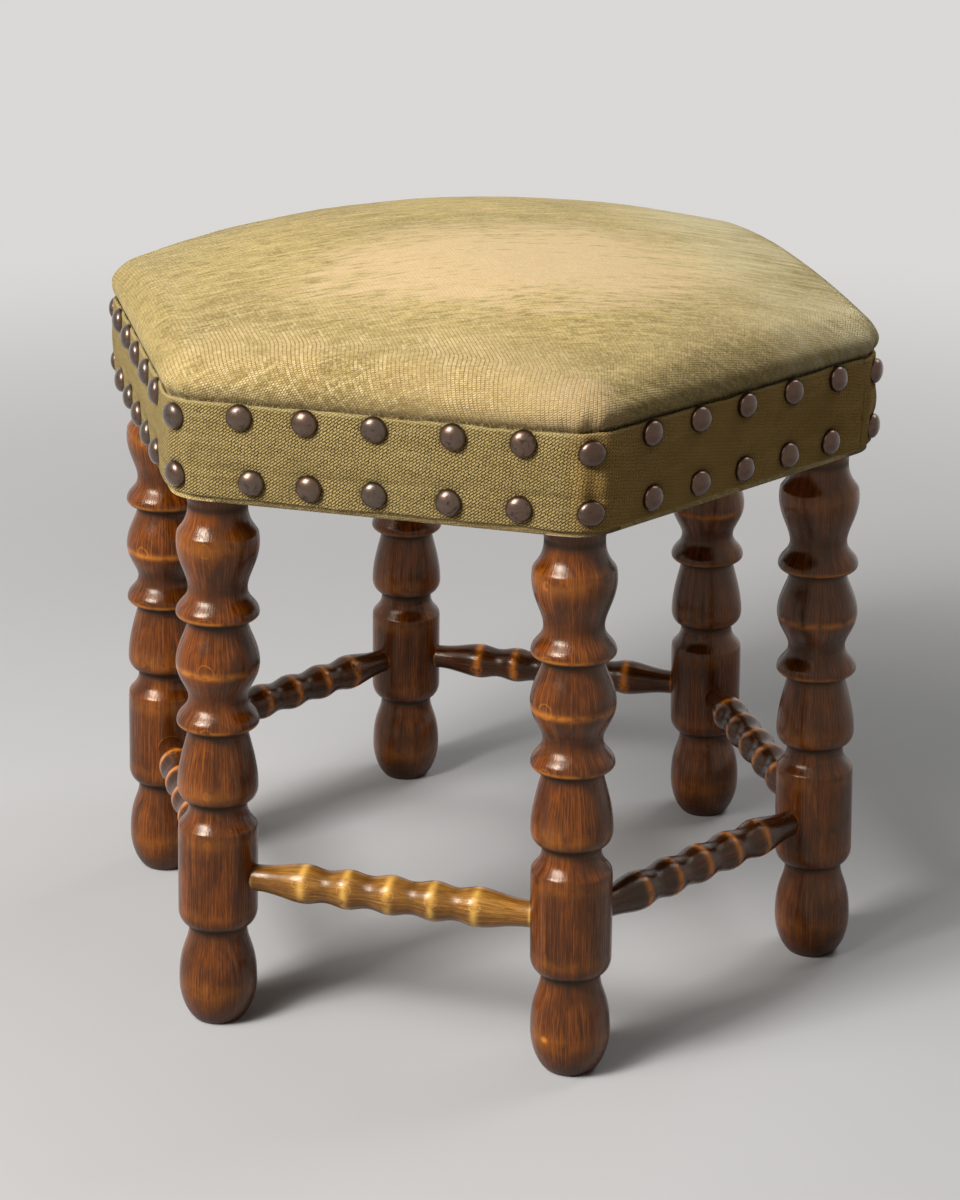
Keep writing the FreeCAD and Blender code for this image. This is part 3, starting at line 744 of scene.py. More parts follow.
def placed(tree, vector, turn_z=0.0, scale=(1, 1, 1)):
    """A vector turned about Z and then stretched."""
    turned = add(tree, "ShaderNodeMapping", {"Vector": vector, "Rotation": (0, 0, turn_z)}).outputs[0]
    return add(tree, "ShaderNodeMapping", {"Vector": turned, "Scale": scale}).outputs[0]


def noise(tree, vector, scale, detail=3.0, rough=0.55):
    """Grey noise of a vector, about 0.5."""
    return add(tree, "ShaderNodeTexNoise", {
        "Vector": vector, "Scale": scale, "Detail": detail, "Roughness": rough}).outputs[0]


def streaks(tree, vector, scale, detail=2.0, rough=0.55):
    """Noise that is stretched by a scale for each axis."""
    return noise(tree, placed(tree, vector, scale=scale), 1.0, detail, rough)


def paint(tree, colour, layer, mask, most=None):
    """A colour under a thin layer of another: mixed by a mask, times the most that the layer covers."""
    share = mask if most is None else times(tree, mask, most)
    return add(tree, "ShaderNodeMix", {0: share, 6: colour, 7: layer}, data_type="RGBA").outputs[2]


def bump(tree, shader, height, distance, strength):
    """Roughens a shader's surface by a height."""
    made = add(tree, "ShaderNodeBump", {"Height": height, "Distance": distance, "Strength": strength})
    tree.links.new(made.outputs[0], shader.inputs["Normal"])


def grains(tree, vector, size, gap, low, smooth, offset):
    """Threads as bricks in staggered rows: 0 in the gaps, from low to 1 on the threads."""
    weave = add(tree, "ShaderNodeTexBrick", {
        "Vector": vector, "Color1": rgb(1, 1, 1), "Color2": rgb(low, low, low), "Mortar": rgb(0, 0, 0),
        "Scale": 1.0, "Mortar Size": gap, "Mortar Smooth": smooth,
        "Brick Width": size[0], "Row Height": size[1]}, offset=offset)
    return add(tree, "ShaderNodeSeparateColor", {0: weave.outputs[0]}).outputs[0]


print("paint layers, noises and weaves ready")

# %% [markdown]
# ## Stained wood
# The legs and stretchers are hardwood, stained dark, varnished, and worn through on the rims. A picture of
# wood could be wrapped round them, but it would stretch on every swell. Noise in the turned block itself
# is cut by the swells as real growth rings are, while the fibres' field keeps one radius, so that they
# run along the piece. The front stretcher is paler, as if its stain had been cleaned off.


# %% Stained wood
def wood_colour(tree, dark, middle_tone, light, worn, wear):
    """Growth, fibres, a cut ring, pores and dark clouds over each other, then rubbed rims, then dark rows of dirt and
    painted shade.
    """
    grain, comb = field(tree, "grain", vector=True), field(tree, "comb", vector=True)
    growth = streaks(tree, grain, (0.35, 0.07, 0.008), 3.0, 0.6)
    fibre = streaks(tree, comb, (1.5, 1.5, 0.022), 2.0, 0.6)
    pore = streaks(tree, comb, (1.9, 1.9, 0.10), 2.0, 0.6)
    dent = streaks(tree, comb, (1.1, 1.1, 0.40), 3.0, 0.6)
    cloud = noise(tree, placed(tree, grain, scale=(1.0, 1.0, 0.5)), 0.055, 3.0, 0.6)
    level = plus(tree, field(tree, "level"), times(tree, minus(tree, cloud, 0.5), 1.4))
    cut_ring = between(tree, maths(tree, "ABSOLUTE", level), 0.09, 0.03)
    colour = paint(tree, dark, middle_tone, between(tree, growth, 0.22, 0.66))
    colour = paint(tree, colour, light, between(tree, fibre, 0.45, 0.62), 0.46)
    colour = paint(tree, colour, worn, cut_ring, 0.38)
    colour = paint(tree, colour, dark, between(tree, pore, 0.50, 0.60), 0.62)
    colour = paint(tree, colour, dark, between(tree, cloud, 0.44, 0.64), 0.62)
    patch = between(tree, noise(tree, grain, 0.13, 4.0, 0.65), 0.28, 0.58)
    rub = maths(tree, "MULTIPLY", times(tree, field(tree, "rubbed"), patch), wear, clamp=True)
    colour = paint(tree, colour, worn, rub)
    # Dirt and painted shade: the dark rows darken the colour and dull the varnish.
    dirt_and_shade_mask = maths(tree, "MULTIPLY", field(tree, "dirt_and_shade"), 0.9, clamp=True)
    colour = paint(tree, colour, rgb(0.008, 0.003, 0.001), dirt_and_shade_mask)
    relief = plus(tree, times(tree, plus(tree, fibre, pore), 0.22), dent)
    return SimpleNamespace(colour=colour, pore=pore, dirt_and_shade_mask=dirt_and_shade_mask, relief=relief)


def stained_wood(name, dark, middle_tone, light, worn, wear):
    """Varnished wood: dull in the pores and in the dark rows of dirt and painted shade, glossy elsewhere, with a fine
    relief.
    """
    material, tree, shader = begin(name)
    wood = wood_colour(tree, dark, middle_tone, light, worn, wear)
    tree.links.new(wood.colour, shader.inputs["Base Color"])
    dull = plus(tree, times(tree, wood.pore, 0.20), times(tree, wood.dirt_and_shade_mask, 0.4))
    tree.links.new(plus(tree, dull, 0.07), shader.inputs["Roughness"])
    shader.inputs["Specular IOR Level"].default_value = 0.44
    shader.inputs["Specular Tint"].default_value = rgb(1.0, 0.85, 0.69)
    bump(tree, shader, wood.relief, 0.00024, 0.5)
    return material


front_stretcher = 4
leg_wood = stained_wood(
    "leg_wood", rgb(0.043, 0.0090, 0.0012), rgb(0.190, 0.0425, 0.0038),
    rgb(0.44, 0.124, 0.0115), rgb(0.74, 0.24, 0.021), 0.9)
rod_wood = stained_wood(
    "stretcher_wood", rgb(0.024, 0.0058, 0.0010), rgb(0.088, 0.0205, 0.0025),
    rgb(0.22, 0.061, 0.007), rgb(0.74, 0.225, 0.022), 1.1)
front_wood = stained_wood(
    "front_stretcher_wood", rgb(0.13, 0.045, 0.0075), rgb(0.42, 0.180, 0.028),
    rgb(0.64, 0.33, 0.062), rgb(0.84, 0.46, 0.095), 0.9)
for leg in legs:
    leg.data.materials.append(leg_wood)
for number, stretcher in enumerate(stretchers):
    stretcher.data.materials.append(front_wood if number == front_stretcher else rod_wood)
print("wood on", len(legs) + len(stretchers), "pieces")

# %% [markdown]
# ## Velvet: how the cloth lies
# Velvet is a woven ground with a pile of cut threads. On this seat the pile leans in streaks and the
# ground shows where it has gone. Hair particles could make the pile, but they would be far too heavy for
# a part, so it is painted: first the noises along and across the threads, on the flat place of the cloth.

# %% Velvet: how the cloth lies
pile_angle, loom_angle = math.radians(-27), math.radians(58)
thread_size, thread_gap = (0.0012, 0.0018), 0.00040


def thread_noise(tree, along, across_threads, rate, spacing, shift):
    """Noise along one thread at a time: the number of the thread picks another line of the noise."""
    number = maths(tree, "FLOOR", maths(tree, "DIVIDE", across_threads, spacing))
    line = add(tree, "ShaderNodeCombineXYZ", {0: times(tree, along, rate), 1: times(tree, number, shift)})
    return noise(tree, line.outputs[0], 1.0, 2.0)


def velvet_patterns(tree):
    """The noises that pile and wear are painted from, by name, and the plan x and y of each point."""
    coords = add(tree, "ShaderNodeTexCoord").outputs["Object"]
    flat = field(tree, "cloth", vector=True)
    lie = placed(tree, flat, turn_z=pile_angle)
    wander = add(tree, "ShaderNodeTexNoise", {"Vector": coords, "Scale": 45.0}).outputs[1]
    wander = add(tree, "ShaderNodeVectorMath", {0: wander, 1: (0.0004, 0.0004, 0)}, operation="MULTIPLY").outputs[0]
    loom = add(tree, "ShaderNodeVectorMath", {0: flat, 1: wander}, operation="ADD").outputs[0]
    loom = placed(tree, loom, turn_z=loom_angle)
    lay, spot, plan = split(tree, loom), split(tree, lie), split(tree, coords)
    return SimpleNamespace(
        coords=coords, along=spot[0], aside=spot[1], x=plan[0], y=plan[1],
        streak=streaks(tree, lie, (14.0, 105.0, 20.0), 7.0, 0.74),
        fine=streaks(tree, lie, (80.0, 430.0, 60.0), 3.0, 0.75),
        slub=streaks(tree, lie, (24.0, 215.0, 60.0), 4.0, 0.7),
        cloud=noise(tree, coords, 11.0, 5.0, 0.62),
        pile=noise(tree, coords, 620.0, 3.0, 0.75),
        thread=grains(tree, loom, thread_size, thread_gap, 0.62, 1.0, 0.5),
        warp=thread_noise(tree, lay[0], lay[1], 95.0, thread_size[1], 3.3),
        weft=thread_noise(tree, lay[1], lay[0], 26.0, thread_size[0], 2.9),
        edge_shown=between(tree, plan[2], 0.3705, 0.3570))


print("threads", thread_size[0] / mm, "by", thread_size[1] / mm, "mm")

# %% [markdown]
# ## Velvet: wear
# People sit on the middle and slide off the front, so the pile is gone in a tan oval behind the middle,
# straw threads show along the front edge, and one corner is rubbed. A painted mask would need a picture;
# an oval with a ragged edge from the same streaks looks the same and stays sharp at any size.


# %% Velvet: wear
def oval(tree, x, y, centre, half):
    """Squared distance from the middle of an oval: 1 on its edge."""
    far_x = maths(tree, "DIVIDE", minus(tree, x, centre[0]), half[0])
    far_y = maths(tree, "DIVIDE", minus(tree, y, centre[1]), half[1])
    return plus(tree, times(tree, far_x, far_x), times(tree, far_y, far_y))


def stroke(tree, x, y, start, end, width):
    """1 on a thin straight mark between two plan points, 0 off it: near its line and near its middle."""
    run_length = math.hypot(end[0] - start[0], end[1] - start[1])
    cos, sin = (end[0] - start[0]) / run_length, (end[1] - start[1]) / run_length
    shift_x, shift_y = minus(tree, x, start[0]), minus(tree, y, start[1])
    along = plus(tree, times(tree, shift_x, cos), times(tree, shift_y, sin))
    aside = minus(tree, times(tree, shift_y, cos), times(tree, shift_x, sin))
    off = maths(tree, "ABSOLUTE", minus(tree, along, run_length / 2))
    on_line = between(tree, maths(tree, "ABSOLUTE", aside), width, width / 3)
    return times(tree, on_line, between(tree, off, run_length / 2, run_length / 2.6))


def ragged_edge(tree, p):
    """How far a worn edge strays: the sum of streaks, clouds, fine pile and slubs about their middles."""
    ragged = plus(tree, times(tree, minus(tree, p.streak, 0.5), 4.0), times(tree, minus(tree, p.cloud, 0.5), 2.2))
    ragged = plus(tree, ragged, times(tree, minus(tree, plus(tree, p.fine, p.pile), 1.0), 2.2))
    return plus(tree, ragged, times(tree, minus(tree, p.slub, 0.5), 3.0))


def olive_pile(tree, p):
    """The pile: olive clouds, pale streaks and slubs, and dark fine gaps."""
    colour = paint(tree, rgb(0.295, 0.203, 0.051), rgb(0.525, 0.374, 0.119), between(tree, p.cloud, 0.34, 0.66))
    colour = paint(tree, colour, rgb(0.69, 0.51, 0.19), between(tree, p.streak, 0.44, 0.70), 0.60)
    colour = paint(tree, colour, rgb(0.76, 0.57, 0.24), between(tree, p.slub, 0.48, 0.62), 0.66)
    return paint(tree, colour, rgb(0.225, 0.150, 0.034), between(tree, p.fine, 0.47, 0.61), 0.80)


def bald_middle(tree, p, colour):
    """The tan ground in an oval whose squared distance is shifted by the ragged edge."""
    far = oval(tree, p.along, p.aside, (0.005, -0.048), (0.104, 0.069))
    bald = between(tree, plus(tree, far, p.ragged), 1.35, 0.15)
    return paint(tree, colour, rgb(0.78, 0.545, 0.295), bald, 0.82)


print("wear: bald middle, front edge, corner and marks")

# %% [markdown]
# ## Velvet: front edge, painted light and fading
# Along the front edge the pile is thin: the ground of straw threads shows in patches, and the front roll is painted
# paler toward the corner, as painted light. The far right of the seat is paler too: painted light on the right front
# slope, and at the right back part fading by the sun, part painted sheen. Each is one more layer over the pile, laid by
# the plan place of a point and broken by the same noises.

# %% Velvet: front edge, painted light and fading
mark_ends = (((0.027, -0.160), (0.031, -0.168)), ((0.077, -0.141), (0.083, -0.149)), ((0.016, -0.148), (0.020, -0.155)))
side_cos, side_sin = 0.866, 0.5


def front_edge(tree, p, colour):
    """Straw threads where the plan place is near the front edge and the noise leaves the pile thin, over a front roll
    painted paler as painted light.
    """
    wavy_y = plus(tree, p.y, times(tree, p.cloud, 0.06))
    reach = times(tree, between(tree, p.x, 0.085, 0.030), between(tree, p.x, -0.125, -0.095))
    edge = times(tree, between(tree, wavy_y, -0.078, -0.128), reach)
    thin = plus(tree, noise(tree, p.coords, 34.0, 4.0), times(tree, p.fine, 0.35))
    bare = times(tree, edge, between(tree, thin, 0.58, 0.78))
    # Painted light: the front roll is paler, most toward the corner.
    painted_light_roll = times(tree, between(tree, wavy_y, -0.095, -0.140), between(tree, p.x, 0.105, 0.070))
    toward_corner = plus(tree, times(tree, between(tree, p.x, -0.02, 0.05), 0.60), 0.08)
    colour = paint(tree, colour, rgb(0.78, 0.54, 0.24), times(tree, painted_light_roll, toward_corner))
    straw = paint(tree, rgb(0.33, 0.195, 0.048), rgb(0.90, 0.66, 0.30), p.thread)
    colour = paint(tree, colour, straw, bare, 0.9)
    loose = between(tree, maths(tree, "MAXIMUM", p.warp, p.weft), 0.56, 0.64)
    return paint(tree, colour, rgb(0.93, 0.70, 0.34), times(tree, edge, loose), times(tree, p.thread, 0.95))


def rubbed_corner(tree, p, colour):
    """A rubbed oval at the front corner and three short pale marks."""
    stray = plus(tree, p.ragged, times(tree, minus(tree, p.cloud, 0.5), 1.5))
    tip = between(tree, plus(tree, oval(tree, p.x, p.y, (0.101, -0.174), (0.024, 0.013)), stray), 1.4, 0.1)
    colour = paint(tree, colour, rgb(0.68, 0.46, 0.23), tip, 0.8)
    for start, end in mark_ends:
        mark = stroke(tree, p.x, p.y, start, end, 0.0008)
        colour = paint(tree, colour, rgb(0.85, 0.72, 0.45), mark, 0.5)
    return colour


def fading_and_painted_light_right(tree, p, colour):
    """Paler toward the two right sides, by the distance from the middle across each side, eased: painted light on the
    right front slope, and part fading, part painted sheen at the right back.
    """
    out_x, out_y = times(tree, p.x, side_cos), times(tree, p.y, side_sin)
    # Painted light: the right front slope is painted lighter.
    right = between(tree, minus(tree, out_x, out_y), 0.125, 0.172)
    colour = paint(tree, colour, rgb(0.72, 0.54, 0.26), right, 0.16)
    # The right back edge: part fading, part painted sheen, broken by the noises.
    fading_and_sheen_behind = between(tree, plus(tree, out_x, out_y), 0.060, 0.172)
    broken = between(tree, plus(tree, times(tree, p.slub, 0.6), p.cloud), 0.60, 0.95)
    return paint(tree, colour, rgb(0.84, 0.75, 0.47), times(tree, fading_and_sheen_behind, broken), 0.90)


print("marks", len(mark_ends))

# %% [markdown]
# ## Velvet: weave, lint and sheen
# On the rolled edge the rows of the ground weave show as fine dark lines, and in the tuck above the border, where the
# cloth turns under, shade is painted, dark and broken. A few specks of lint lie on top. A little sheen on the shader
# makes the pile paler at a slant, as real pile is; a fuzzy shell of hairs would do it too, at a far greater cost.


# %% Worn velvet
def ground_weave(tree, p, colour):
    """Dark between the threads, most on the edge; single pale threads, pile tips and painted shade in the tuck."""
    gaps = times(tree, minus(tree, 1.0, p.thread), plus(tree, times(tree, p.edge_shown, 0.36), 0.10))
    colour = paint(tree, colour, rgb(0.19, 0.128, 0.038), gaps)
    pale = times(tree, between(tree, p.warp, 0.52, 0.66), p.thread)
    colour = paint(tree, colour, rgb(0.80, 0.66, 0.38), pale, 0.18)
    colour = paint(tree, colour, rgb(0.80, 0.63, 0.32), between(tree, p.pile, 0.47, 0.66), 0.50)
    # Painted shade in the tuck above the border, broken into dashes.
    dash = between(tree, streaks(tree, p.coords, (800.0, 800.0, 120.0)), 0.40, 0.58)
    return paint(tree, colour, rgb(0.050, 0.034, 0.012), field(tree, "tuck_shade"), plus(tree, times(tree, dash, 0.45), 0.30))


def lint(tree, p, colour):
    """Pale specks: the middles of a few cells of a Voronoi pattern, picked by the cells' own colour."""
    cell = add(tree, "ShaderNodeTexVoronoi", {"Vector": p.coords, "Scale": 230.0})
    chance = add(tree, "ShaderNodeSeparateColor", {0: cell.outputs["Color"]}).outputs[0]
    speck = times(tree, between(tree, cell.outputs["Distance"], 0.20, 0.08), between(tree, chance, 0.955, 0.975))
    return paint(tree, colour, rgb(0.78, 0.74, 0.62), speck, 0.55)


def worn_velvet():
    """Olive pile under its layers of wear, weave and lint, with a soft sheen and the threads' relief."""
    material, tree, shader = begin("worn_velvet")
    p = velvet_patterns(tree)
    p.ragged = ragged_edge(tree, p)
    colour = olive_pile(tree, p)
    for layer in (bald_middle, front_edge, rubbed_corner, fading_and_painted_light_right, ground_weave, lint):
        colour = layer(tree, p, colour)
    tree.links.new(colour, shader.inputs["Base Color"])
    shader.inputs["Roughness"].default_value = 0.92
    shader.inputs["Specular IOR Level"].default_value = 0.12
    shader.inputs["Sheen Weight"].default_value = 0.32
    shader.inputs["Sheen Roughness"].default_value = 0.45
    shader.inputs["Sheen Tint"].default_value = rgb(0.85, 0.78, 0.52)
    threads = times(tree, p.thread, plus(tree, times(tree, p.edge_shown, 0.7), 0.2))
    relief = plus(tree, threads, plus(tree, p.pile, times(tree, p.fine, 0.6)))
    bump(tree, shader, relief, 0.0008, 0.6)
    return material


seat.data.materials.append(worn_velvet())
print("velvet on", seat.name)

# %% [markdown]
# ## Border twill
# The border is a coarse olive twill: slanted grains in rows, dark between, worn pale on the upper fold,
# dragged along the strip, and stained round the nails. The weave could be modelled thread by thread, but
# grains this small only need colour and relief. It reads the strip's own length and width, so it follows
# the cloth round the corners.

# %% Border twill
grain_size, grain_gap, twill_angle = (0.0022, 0.00124), 0.00034, math.radians(-37)


def twill_grains(tree, uv):
    """Grains on the strip's length and width, moved a little by noise and turned by the twill's slant."""
    wander = times(tree, noise(tree, uv, 130.0, 3.0), 0.0022)
    jitter = times(tree, noise(tree, uv, 420.0, 2.0), 0.0011)
    moved = add(tree, "ShaderNodeCombineXYZ", {0: plus(tree, wander, jitter), 1: wander}).outputs[0]
    shifted = add(tree, "ShaderNodeVectorMath", {0: uv, 1: moved}, operation="ADD").outputs[0]
    return grains(tree, placed(tree, shifted, turn_z=twill_angle), grain_size, grain_gap, 0.5, 1.0, 0.42)


def right_side(tree, plan, low, high):
    """0 to 1 over the side of the seat at the right front, by the distance from the middle across it."""
    return between(tree, minus(tree, times(tree, plan[0], side_cos), times(tree, plan[1], side_sin)), low, high)


def twill():
    """Grains, pale specks, dark clouds, a worn fold, drag marks, a browner right front side (partly dirt, partly
    painted light) and stains, in that order.
    """
    material, tree, shader = begin("border_twill")
    source = add(tree, "ShaderNodeTexCoord").outputs
    uv, coords = source["UV"], source["Object"]
    plan = split(tree, coords)
    tone = twill_grains(tree, uv)
    cloud = noise(tree, coords, 18.0, 5.0, 0.62)
    speck = noise(tree, uv, 900.0, 2.0, 0.7)
    drag = streaks(tree, uv, (25.0, 260.0, 1.0), 4.0, 0.65)
    colour = paint(tree, rgb(0.026, 0.017, 0.005), rgb(0.52, 0.37, 0.132), between(tree, tone, 0.05, 0.70))
    colour = paint(tree, colour, rgb(0.58, 0.45, 0.20), between(tree, speck, 0.50, 0.72), 0.35)
    colour = paint(tree, colour, rgb(0.19, 0.135, 0.040), between(tree, cloud, 0.46, 0.70), 0.40)
    lower_fold = times(tree, between(tree, plan[2], 0.2868, 0.2858), 0.3)
    worn = maths(tree, "MAXIMUM", between(tree, plan[2], 0.3300, 0.3312), lower_fold)
    colour = paint(tree, colour, rgb(0.58, 0.46, 0.20), worn, 0.45)
    colour = paint(tree, colour, rgb(0.62, 0.49, 0.23), between(tree, drag, 0.52, 0.74), 0.30)
    colour = paint(tree, colour, rgb(0.15, 0.100, 0.032), between(tree, drag, 0.48, 0.30), 0.30)
    # The right front side is tinted browner: partly its dirt, partly painted to stand in for the light on that side.
    colour = paint(tree, colour, rgb(0.50, 0.245, 0.036), right_side(tree, plan, 0.165, 0.178), 0.36)
    stain = between(tree, field(tree, "pull"), 0.35, 0.85)
    colour = paint(tree, colour, rgb(0.055, 0.038, 0.014), stain, 0.6)
    tree.links.new(colour, shader.inputs["Base Color"])
    shader.inputs["Roughness"].default_value = 0.88
    shader.inputs["Specular IOR Level"].default_value = 0.15
    shader.inputs["Sheen Weight"].default_value = 0.12
    shader.inputs["Sheen Tint"].default_value = rgb(0.8, 0.72, 0.45)
    bump(tree, shader, plus(tree, tone, times(tree, speck, 0.4)), 0.0009, 0.8)
    return material


band.data.materials.append(twill())
print("twill on", band.name)

# %% [markdown]
# ## Antiqued nails
# The nails are brass or bronze, coloured dark and lacquered. A plain metal would mirror the whole pale
# floor, so the metal is dark with darker spots, and a thin clear coat gives the small sharp highlight.
# Each head takes its tone from its own number, and the right side is painted darker and browner, a painted reflection
# of darker surroundings there.


# %% Antiqued nails
def antiqued():
    """Dark bronze: two tones by head, darker and browner at the right as a painted reflection, dull spots, and a clear
    coat over all.
    """
    material, tree, shader = begin("antiqued_bronze")
    coords = add(tree, "ShaderNodeTexCoord").outputs["Object"]
    spots = noise(tree, coords, 380.0, 4.0, 0.65)
    colour = paint(tree, rgb(0.128, 0.070, 0.043), rgb(0.112, 0.075, 0.052), field(tree, "own"))
    # Painted reflection: the right side is darker and browner, as if it mirrored darker surroundings.
    painted_dark_reflection = right_side(tree, split(tree, coords), 0.172, 0.179)
    colour = paint(tree, colour, rgb(0.062, 0.021, 0.0075), painted_dark_reflection, 0.75)
    colour = paint(tree, colour, rgb(0.035, 0.021, 0.015), between(tree, spots, 0.52, 0.70))
    tree.links.new(colour, shader.inputs["Base Color"])
    tree.links.new(plus(tree, times(tree, spots, 0.30), 0.18), shader.inputs["Roughness"])
    shader.inputs["Metallic"].default_value = 1.0
    shader.inputs["Coat Weight"].default_value = 0.8
    shader.inputs["Coat Roughness"].default_value = 0.14
    bump(tree, shader, spots, 0.0002, 0.35)
    return material


bronze = antiqued()
for piece in nails:
    piece.data.materials.append(bronze)
print("bronze on", len(nails), "rows")

# %% [markdown]
# ## Jute and hessian
# The webbing and the base cloth are plain weaves of coarse, uneven yarn. The same brick pattern as in the
# twill serves, unslanted. The strips read their own length and width, and the base cloth, which lies
# flat, reads its place.


# %% Jute and hessian
def woven(name, coordinates, light, dark, size):
    """A plain weave: threads in staggered rows, dark between, with uneven tone."""
    material, tree, shader = begin(name)
    source = add(tree, "ShaderNodeTexCoord").outputs
    tone = grains(tree, source[coordinates], size, 0.18 * size[1], 0.55, 0.8, 0.5)
    cloud = noise(tree, source["Object"], 30.0, 4.0)
    colour = paint(tree, dark, light, between(tree, tone, 0.0, 0.9))
    colour = paint(tree, colour, dark, between(tree, cloud, 0.45, 0.7), 0.4)
    tree.links.new(colour, shader.inputs["Base Color"])
    shader.inputs["Roughness"].default_value = 0.9
    bump(tree, shader, tone, 0.0005, 0.7)
    return material


jute = woven("jute", "UV", rgb(0.42, 0.29, 0.15), rgb(0.16, 0.10, 0.045), (0.0040, 0.0022))
for strip in strips:
    strip.data.materials.append(jute)
hessian.data.materials.append(
    woven("hessian", "Object", rgb(0.46, 0.33, 0.18), rgb(0.14, 0.09, 0.04), (0.0030, 0.0026)))
print("jute on", len(strips), "strips, hessian on", hessian.name)

# %% [markdown]
# ## Rails and tacks
# The rails, their dowels and the tacks stay the model's own meshes, which already have the right shape.
# They only get finishes: bare pale wood with its grain along each rail, and dark steel with a little
# rust. One wood for all rails would run across some of them, so each rail has its own direction.


# %% Rails and tacks
def bare_wood(name, angle):
    """Pale wood: streaks and flecks stretched along a direction in the plan."""
    material, tree, shader = begin(name)
    along = placed(tree, add(tree, "ShaderNodeTexCoord").outputs["Object"], turn_z=-angle)
    streak = streaks(tree, along, (6.0, 120.0, 120.0), 5.0, 0.6)
    fleck = streaks(tree, along, (60.0, 700.0, 700.0))
    colour = paint(tree, rgb(0.30, 0.17, 0.075), rgb(0.50, 0.33, 0.17), between(tree, streak, 0.3, 0.7))
    colour = paint(tree, colour, rgb(0.22, 0.11, 0.045), between(tree, fleck, 0.55, 0.7), 0.5)
    tree.links.new(colour, shader.inputs["Base Color"])
    shader.inputs["Roughness"].default_value = 0.6
    bump(tree, shader, fleck, 0.0003, 0.3)
    return material


def blued_steel():
    """Dark tack heads, rusty where a noise is high."""
    material, tree, shader = begin("blued_steel")
    rust = noise(tree, add(tree, "ShaderNodeTexCoord").outputs["Object"], 240.0, 4.0, 0.7)
    colour = paint(tree, rgb(0.05, 0.05, 0.06), rgb(0.14, 0.06, 0.025), between(tree, rust, 0.5, 0.7))
    tree.links.new(colour, shader.inputs["Base Color"])
    shader.inputs["Metallic"].default_value = 0.8
    shader.inputs["Roughness"].default_value = 0.45
    return material


def repaint(node, material):
    """Gives a kept node of the model another material in each of its slots."""
    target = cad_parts[node]
    for slot in target.material_slots:
        slot.material = material
    if not target.material_slots:
        target.data.materials.append(material)


for side in range(SIDES):
    rail_angle = math.radians(turn * (side + 0.5) + 90)
    repaint("rail_%d" % (side + 1), bare_wood("rail_wood_%d" % (side + 1), rail_angle))
repaint("mitre_dowels", bare_wood("dowel_wood", 0.0))
steel = blued_steel()
repaint("webbing_tacks", steel)
repaint("hem_tacks", steel)
print("rails", SIDES, "and tacks painted")

# %% [markdown]
# ## Camera
# The camera stands where the photograph was taken from. It could be placed by eye, but its place, angles
# and lens were found by fitting the legs and nails of the model to their places in the picture, so that
# the two can be laid over each other.

# %% Camera
eye = np.array([0.40038, -1.41371, 0.72350])
azimuth, elevation, tilt = (math.radians(v) for v in (15.838, 20.336, 0.410))
backward = np.array([
    math.sin(azimuth) * math.cos(elevation), -math.cos(azimuth) * math.cos(elevation), math.sin(elevation)])
right = np.array([math.cos(azimuth), math.sin(azimuth), 0.0])
upward = np.cross(backward, right)
lens = bpy.data.cameras.new("camera")
lens.lens, lens.sensor_width, lens.clip_start = 88.13, 36.0, 0.05
pose = np.eye(4)
pose[:3, 0] = right * math.cos(tilt) + upward * math.sin(tilt)
pose[:3, 1] = -right * math.sin(tilt) + upward * math.cos(tilt)
pose[:3, 2], pose[:3, 3] = backward, eye
camera = bpy.data.objects.new("camera", lens)
camera.matrix_world = Matrix(pose.tolist())
bpy.context.collection.objects.link(camera)
bpy.context.scene.camera = camera
bpy.context.scene.view_settings.view_transform = "Standard"
print("camera at", [round(float(v), 3) for v in eye])

# %% [markdown]
# ## Floor and background
# A plain pale floor and background show the stool alone. A curved paper sweep is the usual way in a
# studio; here the floor fades into a background of the same colour. Rays that come from the camera or by
# a mirror see that colour, while light that spreads meets a darker floor and sky, so that the pale
# surroundings don't flood the stool.

# %% Floor and background
pale_grey, spread_grey = rgb(0.70, 0.69, 0.675), rgb(0.078, 0.079, 0.081)
floor_half = 12.0


def seen(tree):
    """1 on rays that come straight from the camera or by a mirror or glass, 0 on light that spreads."""
    path = add(tree, "ShaderNodeLightPath").outputs
    mirrored = maths(tree, "MAXIMUM", path["Is Glossy Ray"], path["Is Transmission Ray"])
    return maths(tree, "MAXIMUM", path["Is Camera Ray"], mirrored)


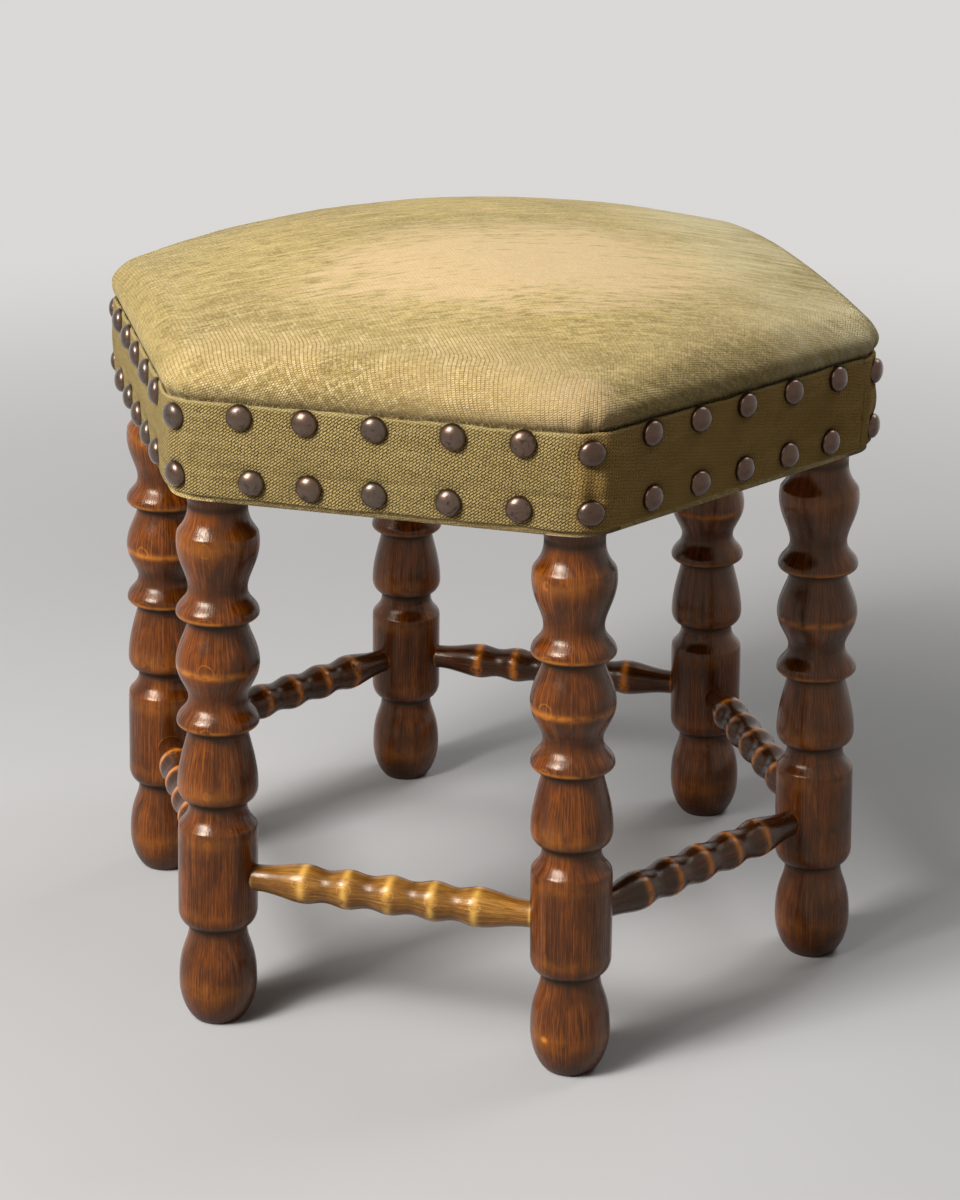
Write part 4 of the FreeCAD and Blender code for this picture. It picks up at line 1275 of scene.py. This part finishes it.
def pale_floor():
    """A wide square with a faint mottle, which turns into the background colour far from the stool."""
    reach = [-floor_half / mm, floor_half / mm]
    piece = surface("floor", np.stack(np.meshgrid(reach, reach, [0.0], indexing="ij"), -1)[:, :, 0])
    material, tree, shader = begin("floor")
    coords = add(tree, "ShaderNodeTexCoord").outputs["Object"]
    mottle = paint(tree, rgb(0.53, 0.52, 0.505), rgb(0.58, 0.57, 0.555), noise(tree, coords, 3.0, 4.0))
    distance = add(tree, "ShaderNodeVectorMath", {0: coords}, operation="LENGTH").outputs["Value"]
    far, direct = between(tree, distance, 0.45, 1.6), seen(tree)
    tree.links.new(paint(tree, rgb(0.24, 0.225, 0.21), mottle, direct), shader.inputs["Base Color"])
    shader.inputs["Roughness"].default_value = 0.85
    pale = add(tree, "ShaderNodeEmission", {0: pale_grey, 1: 1.0})
    mixed = add(tree, "ShaderNodeMixShader", {0: times(tree, far, direct), 1: shader.outputs[0], 2: pale.outputs[0]})
    tree.links.new(mixed.outputs[0], tree.nodes["Material Output"].inputs[0])
    piece.data.materials.append(material)


pale_floor()
world = bpy.data.worlds.new("world")
world.use_nodes = True
bpy.context.scene.world = world
sky = world.node_tree
sky.links.new(paint(sky, spread_grey, pale_grey, seen(sky)), sky.nodes["Background"].inputs[0])
print("floor", 2 * floor_half, "m wide")

# %% [markdown]
# ## Lights
# Light falls on the stool from the left front. A tall soft lamp there gives the long shine on the
# turnings, and a smaller, brighter one in front of it the sparks on the swells. A weaker lamp high behind
# at the right lights the back of the seat. A picture of a room could light it too, but it would bring its
# own colours.


# %% Lights
def lamp(name, place, target, size, power, colour):
    """A wide area light that faces a point: its axis is the line to the target; size is width and height."""
    data = bpy.data.lights.new(name, "AREA")
    data.shape = "RECTANGLE"
    data.energy, data.size, data.size_y, data.color = power, size[0], size[1], colour
    away = np.array(place) - np.array(target)
    away = away / np.linalg.norm(away)
    level_side = np.cross([0, 0, 1], away)
    level_side = level_side / np.linalg.norm(level_side)
    stand = np.eye(4)
    stand[:3, 0], stand[:3, 1], stand[:3, 2] = level_side, np.cross(away, level_side), away
    stand[:3, 3] = place
    piece = bpy.data.objects.new(name, data)
    piece.matrix_world = Matrix(stand.tolist())
    bpy.context.collection.objects.link(piece)


lamp("key", (-0.92, -1.26, 1.70), (0, 0, 0.24), (1.15, 1.45), 28.0, (1.0, 0.98, 0.95))
lamp("spark", (-0.86, -1.24, 1.40), (0, 0, 0.24), (0.44, 0.62), 28.0, (0.98, 0.98, 1.0))
lamp("window", (0.95, 1.25, 2.10), (0, 0, 0.35), (1.2, 1.2), 18.0, (0.95, 0.97, 1.0))
print("lights", len(bpy.data.lights))
